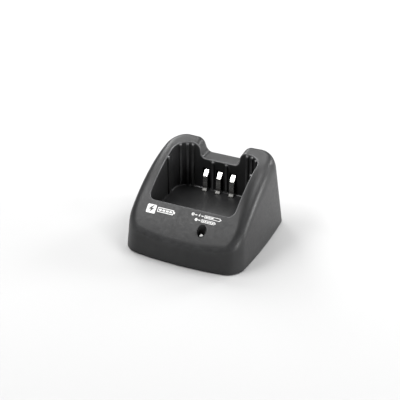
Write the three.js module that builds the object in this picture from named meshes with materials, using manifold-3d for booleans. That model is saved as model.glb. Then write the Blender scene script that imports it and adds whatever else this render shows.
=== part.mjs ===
// Desktop drop-in charger for a handheld two-way radio.
// Millimetres. +Z is up, -Y is the front, where the lamp is, and +X is the user's right.
// The origin is on the desk, under the middle of the charger.
import * as THREE from 'three';
import { mergeVertices } from 'three/addons/utils/BufferGeometryUtils.js';
import Module from 'manifold-3d';

const wasm = await Module();
wasm.setup();

// ---------------------------------------------------------------- driving dimensions

// The gap left between pieces that touch on the real charger.
const GAP = 0.3;

// Housing: the outer plan where it meets the desk. Each wall bows outwards in the middle.
const HALF_WIDTH = 39.2;
const FRONT = -37.3;
const BACK = 40.3;
const SIDE_BOW = 1.9;
const FRONT_BOW = 3.7;
const BACK_BOW = 0.6;
const FRONT_RADIUS = 9.2;
const BACK_RADIUS = 7; // at the desk; it grows with height, up to the horns
const HORN_FLAT = 7; // the straight stretch of each horn's back, from the notch to the corner
// How far each wall leans in per mm of height.
const DRAFT = { side: 0.053, front: 0.13, back: 0.135 };
const HOUSING_BOTTOM = 0.5; // the rubber feet hold the housing this far off the desk
const WALL = 2.2;

// Housing: the top falls from the horns at the back to the front edge of the deck.
const POCKET_FRONT_HEIGHT = 30.85;
const TOP_SLOPE = 0.804; // at the pocket's front edge
const TOP_CURVE = 0.008;
// The curve runs this far back from the pocket's front edge, and the horns go on straight from there.
const TOP_CURVED_LENGTH = 40.8;

// Housing: how far the rounding of the shoulder reaches from the sharp edge.
const SHOULDER = { front: 2.4, frontCorner: 8.6, side: 9.3, horn: 5, notch: 2.4 };

// Pocket that the radio drops into.
const POCKET_HALF_WIDTH = 29;
const POCKET_FRONT = -21.25;
const POCKET_BACK = 23.5;
const POCKET_FLOOR = 19.4;
const POCKET_FRONT_RADIUS = 4.2;
const POCKET_BACK_RADIUS = 9.8;
const POCKET_DRAFT = 0.012;
const RIM_RADIUS = 0.8;
const FLOOR_THICKNESS = 2.2;

// Notch in the back wall, which clears the radio's belt clip.
const NOTCH_LEDGE = 41;
const NOTCH_FLAT = 9.8; // half-width of the ledge's flat
const NOTCH_FOOT_RADIUS = 3.6;
const NOTCH_LIP_RADIUS = 5;
const NOTCH_LEAN = THREE.MathUtils.degToRad(8);
const HORN_HEIGHT = 51;

// Charging contacts. Each comes up through the pocket's floor, and its top leans back into a slot in
// the back wall.
const CONTACT_PITCH = 9.35;
const CONTACT_WIDTH = 3.2;
const CONTACT_THICKNESS = 0.4;
const CONTACT_FOOT = 19.6; // where it comes through the floor
const CONTACT_ROOT = 18.9; // the height where its moving part leaves its clamped tail
const KNEE_HEIGHT = 28.7;
const WALL_SLOT = { width: 5.2, front: 22.2, back: 27.5, top: 34.6 };
const FLOOR_SLOT = { width: 4, front: 19.1, back: 20.7 };

// Lamp well in the deck.
const LAMP = { x: 12, y: -30.5, radius: 1.3, tip: 20.1 };
const WELL_RADIUS = 2.8;
const WELL_BOTTOM = 17.4;

// Power inlet: a coaxial socket on the circuit board, its mouth in a hole in the back wall.
const INLET = {
  z: 12.9, hole: 3.8, halfWidth: 4.6, front: 25.9, back: 36, top: 17.5,
  nose: 3.5, mouth: 38.6, bore: 2.75, boreEnd: 28.5, pin: 1,
};

// Underside.
const COVER_THICKNESS = 2;
const FOOT = { radius: 5, height: 1, x: 29.2, front: -28.2, back: 30.6 };
const COVER_SCREW = { x: 33.2, front: -14, back: 20 };
const BOARD = { halfWidth: 24.5, front: -34.6, back: 36.4, bottom: 6, top: 7.6 };
const BOARD_SCREW = { x: 12, y: 2 };

// ---------------------------------------------------------------- solids

// A closed geometry as a solid for joining and cutting.
function solid(geometry, x = 0, y = 0, z = 0) {
  const bare = geometry.clone();
  bare.deleteAttribute('normal');
  bare.deleteAttribute('uv');
  bare.translate(x, y, z);
  const merged = mergeVertices(bare, 1e-4);
  const mesh = new wasm.Mesh({
    numProp: 3,
    vertProperties: new Float32Array(merged.attributes.position.array),
    triVerts: new Uint32Array(merged.index.array),
  });
  return new wasm.Manifold(mesh);
}

function geometryOf(manifold) {
  const mesh = manifold.getMesh();
  const geometry = new THREE.BufferGeometry();
  geometry.setAttribute('position', new THREE.BufferAttribute(new Float32Array(mesh.vertProperties), 3));
  geometry.setIndex(new THREE.BufferAttribute(new Uint32Array(mesh.triVerts), 1));
  return geometry;
}

function box(x0, x1, y0, y1, z0, z1) {
  const geometry = new THREE.BoxGeometry(x1 - x0, y1 - y0, z1 - z0);
  return geometry.translate((x0 + x1) / 2, (y0 + y1) / 2, (z0 + z1) / 2);
}

// An upright cylinder from z0 to z1.
function post(radius, z0, z1, sides = 20, topRadius = radius) {
  const geometry = new THREE.CylinderGeometry(topRadius, radius, z1 - z0, sides);
  return geometry.rotateX(Math.PI / 2).translate(0, 0, (z0 + z1) / 2);
}

// A cylinder lying along Y, from y0 to y1.
function bar(radius, y0, y1, sides = 20) {
  return new THREE.CylinderGeometry(radius, radius, y1 - y0, sides).translate(0, (y0 + y1) / 2, 0);
}

// A solid turned about Z, from a profile of [radius, z] points that starts and ends on the axis.
function turned(profile, sides = 20) {
  const geometry = new THREE.LatheGeometry(profile.map(([r, z]) => new THREE.Vector2(r, z)), sides);
  return geometry.rotateX(Math.PI / 2);
}

const charger = new THREE.Group();

function add(name, geometry, material, x = 0, y = 0, z = 0) {
  const mesh = new THREE.Mesh(geometry, new THREE.MeshStandardMaterial(material));
  mesh.name = name;
  mesh.position.set(x, y, z);
  charger.add(mesh);
  return mesh;
}

const PLASTIC = { color: 0x2b2b2d, roughness: 0.55, metalness: 0 };
const RUBBER = { color: 0x151515, roughness: 0.9, metalness: 0 };
const STEEL = { color: 0x8f9296, roughness: 0.35, metalness: 1 };
const NICKEL = { color: 0xd6d6d2, roughness: 0.22, metalness: 1 };

// ---------------------------------------------------------------- housing plan

// The housing is a skin of rings stacked from its lower edge up over the shoulder and down into
// the pocket. Every ring has one point in each column, so neighbouring rings always match.
const FRONT_STEPS = 4;
const CORNER_STEPS = 5;
const SIDE_STEPS = 7;
const HORN_STEPS = 2;

// The notch's half outline from the middle of the ledge out: how far a column stands from the
// middle, how far up it is from the ledge (0) to the horn (1), and the way into the plastic.
const NOTCH_STEPS = 3;
const NOTCH_HEIGHT = HORN_HEIGHT - NOTCH_LEDGE;
const footEnd = {
  across: NOTCH_FLAT + NOTCH_FOOT_RADIUS * Math.cos(NOTCH_LEAN),
  rise: NOTCH_FOOT_RADIUS * (1 - Math.sin(NOTCH_LEAN)),
};
const lipDrop = NOTCH_LIP_RADIUS * (1 - Math.sin(NOTCH_LEAN));
const wallRun = (NOTCH_HEIGHT - lipDrop - footEnd.rise) * Math.tan(NOTCH_LEAN);
// Half the width of the stretch that the notch and its rounded lips take up.
const NOTCH_REACH = footEnd.across + wallRun + NOTCH_LIP_RADIUS * Math.cos(NOTCH_LEAN);

function notchOutline() {
  const points = [0, 0.5].map((t) => ({ across: t * NOTCH_FLAT, up: 0, into: [0, -1] }));
  const turn = Math.PI / 2 - NOTCH_LEAN;
  for (let i = 0; i <= NOTCH_STEPS; i++) {
    const a = (i / NOTCH_STEPS) * turn;
    points.push({
      across: NOTCH_FLAT + NOTCH_FOOT_RADIUS * Math.sin(a),
      up: (NOTCH_FOOT_RADIUS * (1 - Math.cos(a))) / NOTCH_HEIGHT,
      into: [Math.sin(a), -Math.cos(a)],
    });
  }
  for (let i = NOTCH_STEPS; i >= 0; i--) {
    const a = (i / NOTCH_STEPS) * turn;
    points.push({
      across: NOTCH_REACH - NOTCH_LIP_RADIUS * Math.sin(a),
      up: 1 - (NOTCH_LIP_RADIUS * (1 - Math.cos(a))) / NOTCH_HEIGHT,
      into: [Math.sin(a), -Math.cos(a)],
    });
  }
  return points;
}

function columnsOfHalf() {
  const columns = [];
  for (let i = 0; i <= FRONT_STEPS; i++) columns.push({ zone: 'front', at: i / FRONT_STEPS });
  for (let i = 1; i <= CORNER_STEPS; i++) columns.push({ zone: 'frontCorner', at: i / CORNER_STEPS });
  for (let i = 1; i <= SIDE_STEPS; i++) columns.push({ zone: 'side', at: i / SIDE_STEPS });
  for (let i = 1; i < CORNER_STEPS; i++) columns.push({ zone: 'backCorner', at: i / CORNER_STEPS });
  for (let i = 0; i < HORN_STEPS; i++) columns.push({ zone: 'horn', at: i / HORN_STEPS });
  for (const point of notchOutline().reverse()) columns.push({ zone: 'notch', ...point });
  return columns;
}

const half = columnsOfHalf();
const mirrored = half.slice(1, -1).reverse().map((column) => ({ ...column, left: true }));
const COLUMNS = [...half, ...mirrored];

const smooth = (t) => {
  const c = Math.min(1, Math.max(0, t));
  return c * c * (3 - 2 * c);
};
const mix = (a, b, t) => a + (b - a) * t;

// Where a column stands on a plan. shift moves the notch's columns away from the middle.
function stand(plan, column, shift = 0) {
  const { halfWidth, front, back, frontRadius, backRadius } = plan;
  const turn = ((column.at ?? 0) * Math.PI) / 2;
  let x;
  let y;
  if (column.zone === 'front') [x, y] = [column.at * (halfWidth - frontRadius), front];
  if (column.zone === 'frontCorner') {
    x = halfWidth - frontRadius + frontRadius * Math.sin(turn);
    y = front + frontRadius - frontRadius * Math.cos(turn);
  }
  if (column.zone === 'side') [x, y] = [halfWidth, mix(front + frontRadius, back - backRadius, column.at)];
  if (column.zone === 'backCorner') {
    x = halfWidth - backRadius + backRadius * Math.cos(turn);
    y = back - backRadius + backRadius * Math.sin(turn);
  }
  if (column.zone === 'horn') [x, y] = [mix(halfWidth - backRadius, NOTCH_REACH, column.at), back];
  if (column.zone === 'notch') [x, y] = [column.across + shift * column.into[0], back];
  if (plan.bowed) {
    const alongSide = (2 * y - FRONT - BACK) / (BACK - FRONT);
    const alongEnd = x / HALF_WIDTH;
    x += (x / HALF_WIDTH) * SIDE_BOW * (1 - alongSide ** 2);
    y += (alongSide < 0 ? -FRONT_BOW * alongSide ** 2 : BACK_BOW * alongSide ** 2) * (1 - alongEnd ** 2);
  }
  return [column.left ? -x : x, y];
}

const HORN_FLAT_HEIGHT = 45; // where the back corner's radius stops growing

// The outer plan at a height, drawn in by inset.
function outerPlan(z, inset = 0) {
  const halfWidth = HALF_WIDTH - DRAFT.side * z - inset;
  const straight = mix(HALF_WIDTH - BACK_RADIUS, NOTCH_REACH + HORN_FLAT, smooth(z / HORN_FLAT_HEIGHT));
  return {
    halfWidth,
    front: FRONT + DRAFT.front * z + inset,
    back: BACK - DRAFT.back * z - inset,
    frontRadius: FRONT_RADIUS - 0.6 * inset,
    backRadius: halfWidth - straight,
    bowed: true,
  };
}

// The pocket's plan at a height, made larger by grow.
function pocketPlan(z, grow = 0) {
  const size = grow - POCKET_DRAFT * (HORN_HEIGHT - z);
  return {
    halfWidth: POCKET_HALF_WIDTH + size,
    front: POCKET_FRONT - size,
    back: POCKET_BACK + size,
    frontRadius: POCKET_FRONT_RADIUS + size,
    backRadius: POCKET_BACK_RADIUS + size,
    bowed: false,
  };
}

// The height of the top over a place, before the notch is taken out.
function topHeight(y) {
  const along = y - POCKET_FRONT;
  const t = Math.min(along, TOP_CURVED_LENGTH);
  const slope = TOP_SLOPE - 2 * TOP_CURVE * t;
  return POCKET_FRONT_HEIGHT + TOP_SLOPE * t - TOP_CURVE * t * t + slope * (along - t);
}

function surfaceHeight(column, y) {
  return column.zone === 'notch' ? mix(NOTCH_LEDGE, topHeight(y), column.up) : topHeight(y);
}

// The point where wall and top would meet if the edge weren't rounded.
function sharpEdge(column, planAt) {
  let z = HORN_HEIGHT;
  for (let i = 0; i < 12; i++) z = surfaceHeight(column, stand(planAt(z), column)[1]);
  const [x, y] = stand(planAt(z), column);
  return [x, y, z];
}

// A point on a wall, depth away from its top edge.
function belowEdge(column, planAt, edge, depth) {
  const drop = column.zone === 'notch' ? depth * column.into[1] : -depth;
  const z = edge[2] + drop;
  const [x, y] = stand(planAt(z), column, depth);
  return [x, y, z];
}

// A point on the top between the outer edge and the pocket's edge.
function onTop(column, outer, inner, t) {
  const y = mix(outer[1], inner[1], t);
  return [mix(outer[0], inner[0], t), y, surfaceHeight(column, y)];
}

function shoulderReach(column) {
  const turn = smooth(column.at ?? 0);
  if (column.zone === 'front') return SHOULDER.front;
  if (column.zone === 'frontCorner') return mix(SHOULDER.front, SHOULDER.frontCorner, turn);
  if (column.zone === 'side') return mix(SHOULDER.frontCorner, SHOULDER.side, smooth(column.at / 0.6));
  if (column.zone === 'backCorner') return mix(SHOULDER.side, SHOULDER.horn, turn);
  if (column.zone === 'horn') return SHOULDER.horn;
  return mix(SHOULDER.notch, SHOULDER.horn, smooth(column.up));
}

// A rounded edge: points on the curve from a to b that is pulled towards the sharp edge.
function rounding(a, sharp, b, t) {
  return a.map((v, i) => (1 - t) ** 2 * v + 2 * t * (1 - t) * sharp[i] + t ** 2 * b[i]);
}

// Closes a stack of rings into a solid, with a flat cap on the first and the last.
function skin(rings) {
  const count = rings[0].length;
  const positions = rings.flat(2);
  const index = [];
  for (let r = 0; r + 1 < rings.length; r++) {
    for (let c = 0; c < count; c++) {
      const a = r * count + c;
      const b = r * count + ((c + 1) % count);
      index.push(a, b, b + count, a, b + count, a + count);
    }
  }
  for (const [ring, first] of [[rings[0], 0], [rings.at(-1), (rings.length - 1) * count]]) {
    const middle = positions.length / 3;
    positions.push(0, 0, ring[0][2]);
    for (let c = 0; c < count; c++) {
      const here = first + c;
      const next = first + ((c + 1) % count);
      index.push(middle, ...(first === 0 ? [next, here] : [here, next]));
    }
  }
  const geometry = new THREE.BufferGeometry();
  geometry.setAttribute('position', new THREE.Float32BufferAttribute(positions, 3));
  geometry.setIndex(index);
  return geometry;
}

// The housing's outside and its pocket as one solid lump, not yet hollowed from below.
function housingBlank() {
  const level = (plan, z) => COLUMNS.map((column) => [...stand(plan, column), z]);
  const sharp = COLUMNS.map((column) => sharpEdge(column, outerPlan));
  const inner = COLUMNS.map((column) => sharpEdge(column, pocketPlan));
  const wallEnd = COLUMNS.map((c, i) => belowEdge(c, outerPlan, sharp[i], shoulderReach(c)));
  const across = COLUMNS.map((c, i) => Math.hypot(sharp[i][0] - inner[i][0], sharp[i][1] - inner[i][1]));
  const topStart = COLUMNS.map((c, i) => onTop(c, sharp[i], inner[i], shoulderReach(c) / across[i]));
  const rimStart = COLUMNS.map((c, i) => onTop(c, sharp[i], inner[i], 1 - RIM_RADIUS / across[i]));
  const rimEnd = COLUMNS.map((c, i) => belowEdge(c, pocketPlan, inner[i], RIM_RADIUS));
  const shoulder = (t) => COLUMNS.map((c, i) => rounding(wallEnd[i], sharp[i], topStart[i], t));
  const rim = (t) => COLUMNS.map((c, i) => rounding(rimStart[i], inner[i], rimEnd[i], t));
  const midTop = COLUMNS.map((c, i) => onTop(c, topStart[i], rimStart[i], 0.5));
  return skin([
    level(outerPlan(HOUSING_BOTTOM, 0.5), HOUSING_BOTTOM),
    level(outerPlan(HOUSING_BOTTOM + 0.5), HOUSING_BOTTOM + 0.5),
    wallEnd, shoulder(0.25), shoulder(0.5), shoulder(0.75), topStart,
    midTop, rimStart, rim(0.5), rimEnd,
    level(pocketPlan(POCKET_FLOOR + 1), POCKET_FLOOR + 1),
    level(pocketPlan(POCKET_FLOOR, -1), POCKET_FLOOR),
  ]);
}

// The space under the housing: up inside the outer wall, over, and down around the pocket.
const CAVITY_CEILING = 37.6; // under the notch's ledge

function cavitySolid() {
  const level = (plan, z) => COLUMNS.map((column) => [...stand(plan, column), z]);
  const outside = COLUMNS.map((column) => {
    const top = sharpEdge(column, outerPlan)[2];
    const z = Math.min(CAVITY_CEILING, top - shoulderReach(column) - 1);
    return [...stand(outerPlan(z, WALL), column), z];
  });
  const inside = COLUMNS.map((column) => {
    const [, y] = stand(pocketPlan(HORN_HEIGHT, WALL), column);
    const z = Math.min(CAVITY_CEILING, topHeight(y) - 3.4);
    return [...stand(pocketPlan(z, WALL), column), z];
  });
  const under = POCKET_FLOOR - FLOOR_THICKNESS;
  return solid(skin([
    level(outerPlan(HOUSING_BOTTOM, WALL), HOUSING_BOTTOM - 1),
    outside, inside,
    level(pocketPlan(POCKET_FLOOR, WALL), under),
  ]));
}

// ---------------------------------------------------------------- housing

const COVER_TOP = HOUSING_BOTTOM + COVER_THICKNESS;
const UNDER_POCKET = POCKET_FLOOR - FLOOR_THICKNESS;
const SIDES = [['left', -1], ['right', 1]];
const coverScrews = [];
const feet = [];
for (const [side, sign] of SIDES) {
  for (const end of ['front', 'back']) {
    coverScrews.push([`${end}_${side}`, sign * COVER_SCREW.x, COVER_SCREW[end]]);
    feet.push([`${end}_${side}`, sign * FOOT.x, FOOT[end]]);
  }
}
const boardScrews = SIDES.map(([side, sign]) => [side, sign * BOARD_SCREW.x, BOARD_SCREW.y]);
const contacts = [['left', -CONTACT_PITCH], ['center', 0], ['right', CONTACT_PITCH]];

// The block under the pocket's floor that holds the contacts' tails, screwed to two bosses by its ears.
const CARRIER = { halfWidth: 12.6, front: 16.6, back: 21.4, bottom: 12.4, top: UNDER_POCKET - GAP };
const CARRIER_EAR = { end: 18.4, top: 15 };
const CARRIER_SCREW = { x: 15.7, y: 18.8, radius: 1, tip: 18.2 };

// Upright ribs that guide the radio down the pocket: on the sides, the back and the back corners.
// Each is sunk a little into the wall and the floor.
const RIB = {
  width: 1.6, sunk: 0.6, sideReach: 1.3, sideY: 6.9, sideTop: 46.8, backReach: 0.9, backX: 4.7,
  backTop: NOTCH_LEDGE - 0.3, cornerAngles: [42, 70, 92], cornerTop: 50.4,
};

function pocketRibs() {
  const low = POCKET_FLOOR - RIB.sunk;
  const w = RIB.width / 2;
  // A rib on a wall that faces +X, from the wall's own line.
  const rib = (reach, top) => box(-reach, RIB.sunk, -w, w, low, top);
  const ribs = [];
  for (const [, sign] of SIDES) {
    const turned = (degrees) => THREE.MathUtils.degToRad(sign > 0 ? degrees : 180 - degrees);
    const side = rib(RIB.sideReach, RIB.sideTop).rotateZ(turned(0));
    ribs.push(side.translate(sign * POCKET_HALF_WIDTH, RIB.sideY, 0));
    const back = rib(RIB.backReach, RIB.backTop).rotateZ(turned(90));
    ribs.push(back.translate(sign * RIB.backX, POCKET_BACK, 0));
    for (const degrees of RIB.cornerAngles) {
      const corner = rib(RIB.backReach, RIB.cornerTop).translate(POCKET_BACK_RADIUS, 0, 0);
      const centre = sign * (POCKET_HALF_WIDTH - POCKET_BACK_RADIUS);
      ribs.push(corner.rotateZ(turned(degrees)).translate(centre, POCKET_BACK - POCKET_BACK_RADIUS, 0));
    }
  }
  return ribs;
}

// Bosses that hang from the housing: how thick they are, and the pilot holes up their middles.
const COVER_BOSS = { radius: 3.2, hole: 1.6, depth: 9 };
const BOARD_BOSS = { radius: 2.6, hole: 1.4 };
const HOLE_ROOF = 0.8; // the plastic left above a pilot hole
const WELL_WALL = 1.6;

// What is left standing in the cavity: the bosses and the wall of the lamp well.
function keptInCavity() {
  const kept = [];
  for (const [, x, y] of coverScrews) {
    kept.push(solid(post(COVER_BOSS.radius, COVER_TOP + GAP, 45), x, y));
  }
  for (const [, x, y] of boardScrews) {
    kept.push(solid(post(BOARD_BOSS.radius, BOARD.top + GAP, UNDER_POCKET + 1), x, y));
  }
  for (const [, sign] of SIDES) {
    const boss = post(BOARD_BOSS.radius, CARRIER_EAR.top + GAP, UNDER_POCKET + 1);
    kept.push(solid(boss, sign * CARRIER_SCREW.x, CARRIER_SCREW.y));
  }
  kept.push(solid(post(WELL_RADIUS + WELL_WALL, WELL_BOTTOM - 2, 40, 24), LAMP.x, LAMP.y));
  return kept;
}

// What is cut out of the finished housing: pilot holes, contact slots, the lamp well and the inlet's hole.
function housingCuts() {
  const cuts = [];
  for (const [, x, y] of coverScrews) {
    cuts.push(solid(post(COVER_BOSS.hole, 0, COVER_TOP + COVER_BOSS.depth, 12), x, y));
  }
  for (const [, x, y] of boardScrews) {
    cuts.push(solid(post(BOARD_BOSS.hole, 0, UNDER_POCKET - HOLE_ROOF, 12), x, y));
  }
  for (const [, x] of contacts) {
    const inWall = WALL_SLOT.width / 2;
    const inFloor = FLOOR_SLOT.width / 2;
    const low = POCKET_FLOOR - 0.3;
    const { front, back } = FLOOR_SLOT;
    cuts.push(solid(box(x - inWall, x + inWall, WALL_SLOT.front, WALL_SLOT.back, low, WALL_SLOT.top)));
    cuts.push(solid(box(x - inFloor, x + inFloor, front, back, UNDER_POCKET - 1, POCKET_FLOOR + 1)));
  }
  for (const [, sign] of SIDES) {
    const hole = post(CARRIER_SCREW.radius + GAP, CARRIER_EAR.top, CARRIER_SCREW.tip + GAP, 12);
    cuts.push(solid(hole, sign * CARRIER_SCREW.x, CARRIER_SCREW.y));
  }
  cuts.push(solid(post(WELL_RADIUS, WELL_BOTTOM, 40, 24), LAMP.x, LAMP.y));
  cuts.push(solid(post(LAMP.radius + GAP, 0, 40, 16), LAMP.x, LAMP.y));
  cuts.push(solid(bar(INLET.hole, 30, 50, 24), 0, 0, INLET.z));
  return cuts;
}

function housing() {
  const cavity = keptInCavity().reduce((all, part) => all.subtract(part), cavitySolid());
  const ribbed = pocketRibs().reduce((all, rib) => all.add(solid(rib)), solid(housingBlank()).subtract(cavity));
  return geometryOf(housingCuts().reduce((all, part) => all.subtract(part), ribbed));
}

add('upper_housing', housing(), PLASTIC);

// ---------------------------------------------------------------- underside

const COUNTERBORE = { radius: 3.2, depth: 1.1, hole: 1.7 };
const LABEL = { halfWidth: 19, halfDepth: 8.5, y: 2, recess: 0.6, thickness: 0.15 };

function baseCover() {
  const level = (z) => COLUMNS.map((column) => [...stand(outerPlan(z, WALL + GAP), column), z]);
  let cover = solid(skin([level(HOUSING_BOTTOM), level(COVER_TOP)]));
  for (const [, x, y] of feet) {
    cover = cover.subtract(solid(post(FOOT.radius + GAP, 0, FOOT.height + GAP), x, y));
  }
  for (const [, x, y] of coverScrews) {
    cover = cover.subtract(solid(post(COUNTERBORE.radius, 0, HOUSING_BOTTOM + COUNTERBORE.depth), x, y));
    cover = cover.subtract(solid(post(COUNTERBORE.hole, 0, COVER_TOP + 1, 12), x, y));
  }
  const x = LABEL.halfWidth + GAP;
  const y = LABEL.halfDepth + GAP;
  const recess = box(-x, x, LABEL.y - y, LABEL.y + y, 0, HOUSING_BOTTOM + LABEL.recess);
  return geometryOf(cover.subtract(solid(recess)));
}

add('base_cover', baseCover(), PLASTIC);

const FOOT_PROFILE = [
  [0, 0], [FOOT.radius - 0.4, 0], [FOOT.radius, 0.3], [FOOT.radius, FOOT.height], [0, FOOT.height],
];
for (const [place, x, y] of feet) add(`rubber_foot_${place}`, turned(FOOT_PROFILE, 24), RUBBER, x, y);

const labelBottom = HOUSING_BOTTOM + 0.05;
add('label_plate', box(
  -LABEL.halfWidth, LABEL.halfWidth, LABEL.y - LABEL.halfDepth, LABEL.y + LABEL.halfDepth,
  labelBottom, labelBottom + LABEL.thickness,
), { color: 0xb9bbbd, roughness: 0.45, metalness: 0.4 });

// A cross-head screw standing on its head at z = 0, its point up.
const CROSS_SLOT = 0.25; // half its width

function screw(headRadius, headHeight, shankRadius, length) {
  const profile = [
    [0, 0], [headRadius * 0.7, 0], [headRadius, headHeight * 0.45], [headRadius, headHeight],
    [shankRadius, headHeight], [shankRadius, length - shankRadius], [0.15, length], [0, length],
  ];
  const arm = headRadius * 0.55;
  const depth = headHeight * 0.6;
  let body = solid(turned(profile, 16));
  body = body.subtract(solid(box(-arm, arm, -CROSS_SLOT, CROSS_SLOT, -1, depth)));
  body = body.subtract(solid(box(-CROSS_SLOT, CROSS_SLOT, -arm, arm, -1, depth)));
  return geometryOf(body);
}

const COVER_SCREW_SIZE = [2.8, 0.75, 1.3, 10];
for (const [place, x, y] of coverScrews) {
  add(`cover_screw_${place}`, screw(...COVER_SCREW_SIZE), STEEL, x, y, HOUSING_BOTTOM + 0.05);
}

// ---------------------------------------------------------------- circuit board

const BOARD_TOP = BOARD.top + GAP;

function circuitBoard() {
  let board = solid(box(-BOARD.halfWidth, BOARD.halfWidth, BOARD.front, BOARD.back, BOARD.bottom, BOARD.top));
  for (const [, x, y] of boardScrews) board = board.subtract(solid(post(1.5, 0, 20, 12), x, y));
  return geometryOf(board);
}

const [SOLDER_MASK, CHIP_BLACK, FERRITE, SLEEVE, ALUMINIUM] = [
  { color: 0x2f5d3a, roughness: 0.5, metalness: 0 },
  { color: 0x1b1b1d, roughness: 0.5, metalness: 0 },
  { color: 0x3b3632, roughness: 0.6, metalness: 0.2 },
  { color: 0x23324f, roughness: 0.4, metalness: 0.1 },
  { color: 0xa9adb0, roughness: 0.4, metalness: 1 },
];

add('main_circuit_board', circuitBoard(), SOLDER_MASK);

const BOARD_SCREW_HEAD = 1.1;
for (const [side, x, y] of boardScrews) {
  const body = screw(2.2, BOARD_SCREW_HEAD, 1.1, 8.5);
  add(`board_screw_${side}`, body, STEEL, x, y, BOARD.bottom - GAP - BOARD_SCREW_HEAD);
}

// A chip with gull-wing legs along its two long sides. Each leg comes out level, drops and turns out.
const LEG = { halfWidth: 0.2, thickness: 0.2, out: 0.5, toe: 1.1 };

function chip(halfWidth, halfDepth, height, legs) {
  let body = solid(box(-halfWidth, halfWidth, -halfDepth, halfDepth, 0.15, height));
  const top = height / 2 + LEG.thickness / 2;
  const knee = halfDepth + LEG.out;
  const shin = knee - LEG.thickness;
  const parts = [
    [halfDepth - 0.2, knee, top - LEG.thickness, top],
    [shin, knee, 0, top],
    [shin, halfDepth + LEG.toe, 0, LEG.thickness],
  ];
  for (let i = 0; i < legs; i++) {
    const x = ((i + 0.5) / legs - 0.5) * 2 * halfWidth * 0.94;
    for (const [y0, y1, z0, z1] of parts) {
      body = body.add(solid(box(x - LEG.halfWidth, x + LEG.halfWidth, y0, y1, z0, z1)));
      body = body.add(solid(box(x - LEG.halfWidth, x + LEG.halfWidth, -y1, -y0, z0, z1)));
    }
  }
  return geometryOf(body);
}

add('control_chip', chip(5, 1.95, 1.7, 8), CHIP_BLACK, -3, -14, BOARD_TOP);

function drum(radius, height) {
  const lip = height * 0.16;
  const profile = [
    [0, 0], [radius, 0], [radius, lip], [radius * 0.84, lip * 1.5],
    [radius * 0.84, height - lip * 1.5], [radius, height - lip], [radius, height], [0, height],
  ];
  return turned(profile, 24);
}

add('power_inductor', drum(4.2, 6), FERRITE, 13, -14, BOARD_TOP);

const CAPACITOR = { radius: 4, height: 8, y: -28 };
for (const [use, x] of [['input', -17], ['output', -7]]) {
  const { radius, height, y } = CAPACITOR;
  const profile = [
    [0, 0], [radius - 0.2, 0], [radius, 0.5], [radius - 0.3, 1], [radius, 1.5],
    [radius, height - 0.5], [radius - 0.3, height], [0, height],
  ];
  add(`filter_capacitor_${use}`, turned(profile, 24), SLEEVE, x, y, BOARD_TOP);
}

// The power transistor stands against its heat sink, behind the pocket's right corner.
const HEAT_SINK = { x: 19, y0: 26.4, y1: 34.6, top: 23, sheet: 1.2, reach: 6 };
const TRANSISTOR = { thickness: 2.7, halfDepth: 3.9, bottom: 11, top: 21, legPitch: 2.3, legHalf: 0.4 };

function heatSink() {
  const { x, y0, y1, top, sheet, reach } = HEAT_SINK;
  let plate = solid(box(x, x + sheet, y0, y1, BOARD_TOP, top));
  plate = plate.add(solid(box(x + sheet / 2, x + reach, y0, y1, top - sheet, top)));
  return geometryOf(plate);
}

function transistor() {
  const { thickness, halfDepth, bottom, top, legPitch, legHalf } = TRANSISTOR;
  const face = HEAT_SINK.x + HEAT_SINK.sheet + GAP;
  const middle = (HEAT_SINK.y0 + HEAT_SINK.y1) / 2;
  let body = solid(box(face, face + thickness, middle - halfDepth, middle + halfDepth, bottom, top));
  for (const y of [middle - legPitch, middle, middle + legPitch]) {
    const leg = box(face + 1, face + 1.6, y - legHalf, y + legHalf, BOARD_TOP, bottom + 0.5);
    body = body.add(solid(leg));
  }
  return geometryOf(body);
}

add('heat_sink', heatSink(), ALUMINIUM);
add('power_transistor', transistor(), CHIP_BLACK);

// ---------------------------------------------------------------- lamp

// A dome-topped lamp with a flange, on three square legs.
const LAMP_BODY = { base: 13.2, flange: 0.35, flangeHeight: 1, legPitch: 1, legHalf: 0.22 };

function lamp() {
  const { radius, tip } = LAMP;
  const { base, flange, flangeHeight, legPitch, legHalf } = LAMP_BODY;
  const wide = radius + flange;
  const profile = [[0, base], [wide, base], [wide, base + flangeHeight], [radius, base + flangeHeight]];
  for (let i = 0; i < 4; i++) {
    const a = (i / 4) * (Math.PI / 2);
    profile.push([radius * Math.cos(a), tip - radius + radius * Math.sin(a)]);
  }
  profile.push([0, tip]);
  let body = solid(turned(profile, 20));
  for (const x of [-legPitch, 0, legPitch]) {
    body = body.add(solid(box(x - legHalf, x + legHalf, -legHalf, legHalf, BOARD_TOP, base + 0.2)));
  }
  return geometryOf(body);
}

add('indicator_lamp', lamp(), { color: 0xe6e6dd, roughness: 0.25, metalness: 0 }, LAMP.x, LAMP.y);

// ---------------------------------------------------------------- power inlet

function inletBody() {
  const { halfWidth, front, back, top, nose, z, bore, boreEnd, pin } = INLET;
  let body = solid(box(-halfWidth, halfWidth, front, back, BOARD_TOP, top));
  body = body.add(solid(bar(nose, back - 1, INLET.mouth, 24), 0, 0, z));
  body = body.subtract(solid(bar(bore, boreEnd, INLET.mouth + 1, 24), 0, 0, z));
  return geometryOf(body.subtract(solid(bar(pin + GAP, front - 1, boreEnd + 1, 16), 0, 0, z)));
}

function inletPin() {
  const { pin, front, mouth } = INLET;
  const length = mouth - 1.2 - front - 0.4;
  const profile = [[0, 0], [pin, 0], [pin, length - 0.6], [pin * 0.6, length], [0, length]];
  return turned(profile, 16).rotateX(-Math.PI / 2);
}

add('power_inlet_body', inletBody(), { color: 0x141416, roughness: 0.5, metalness: 0 });
add('power_inlet_pin', inletPin(), NICKEL, 0, INLET.front + 0.4, INLET.z);

// ---------------------------------------------------------------- charging contacts

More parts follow.
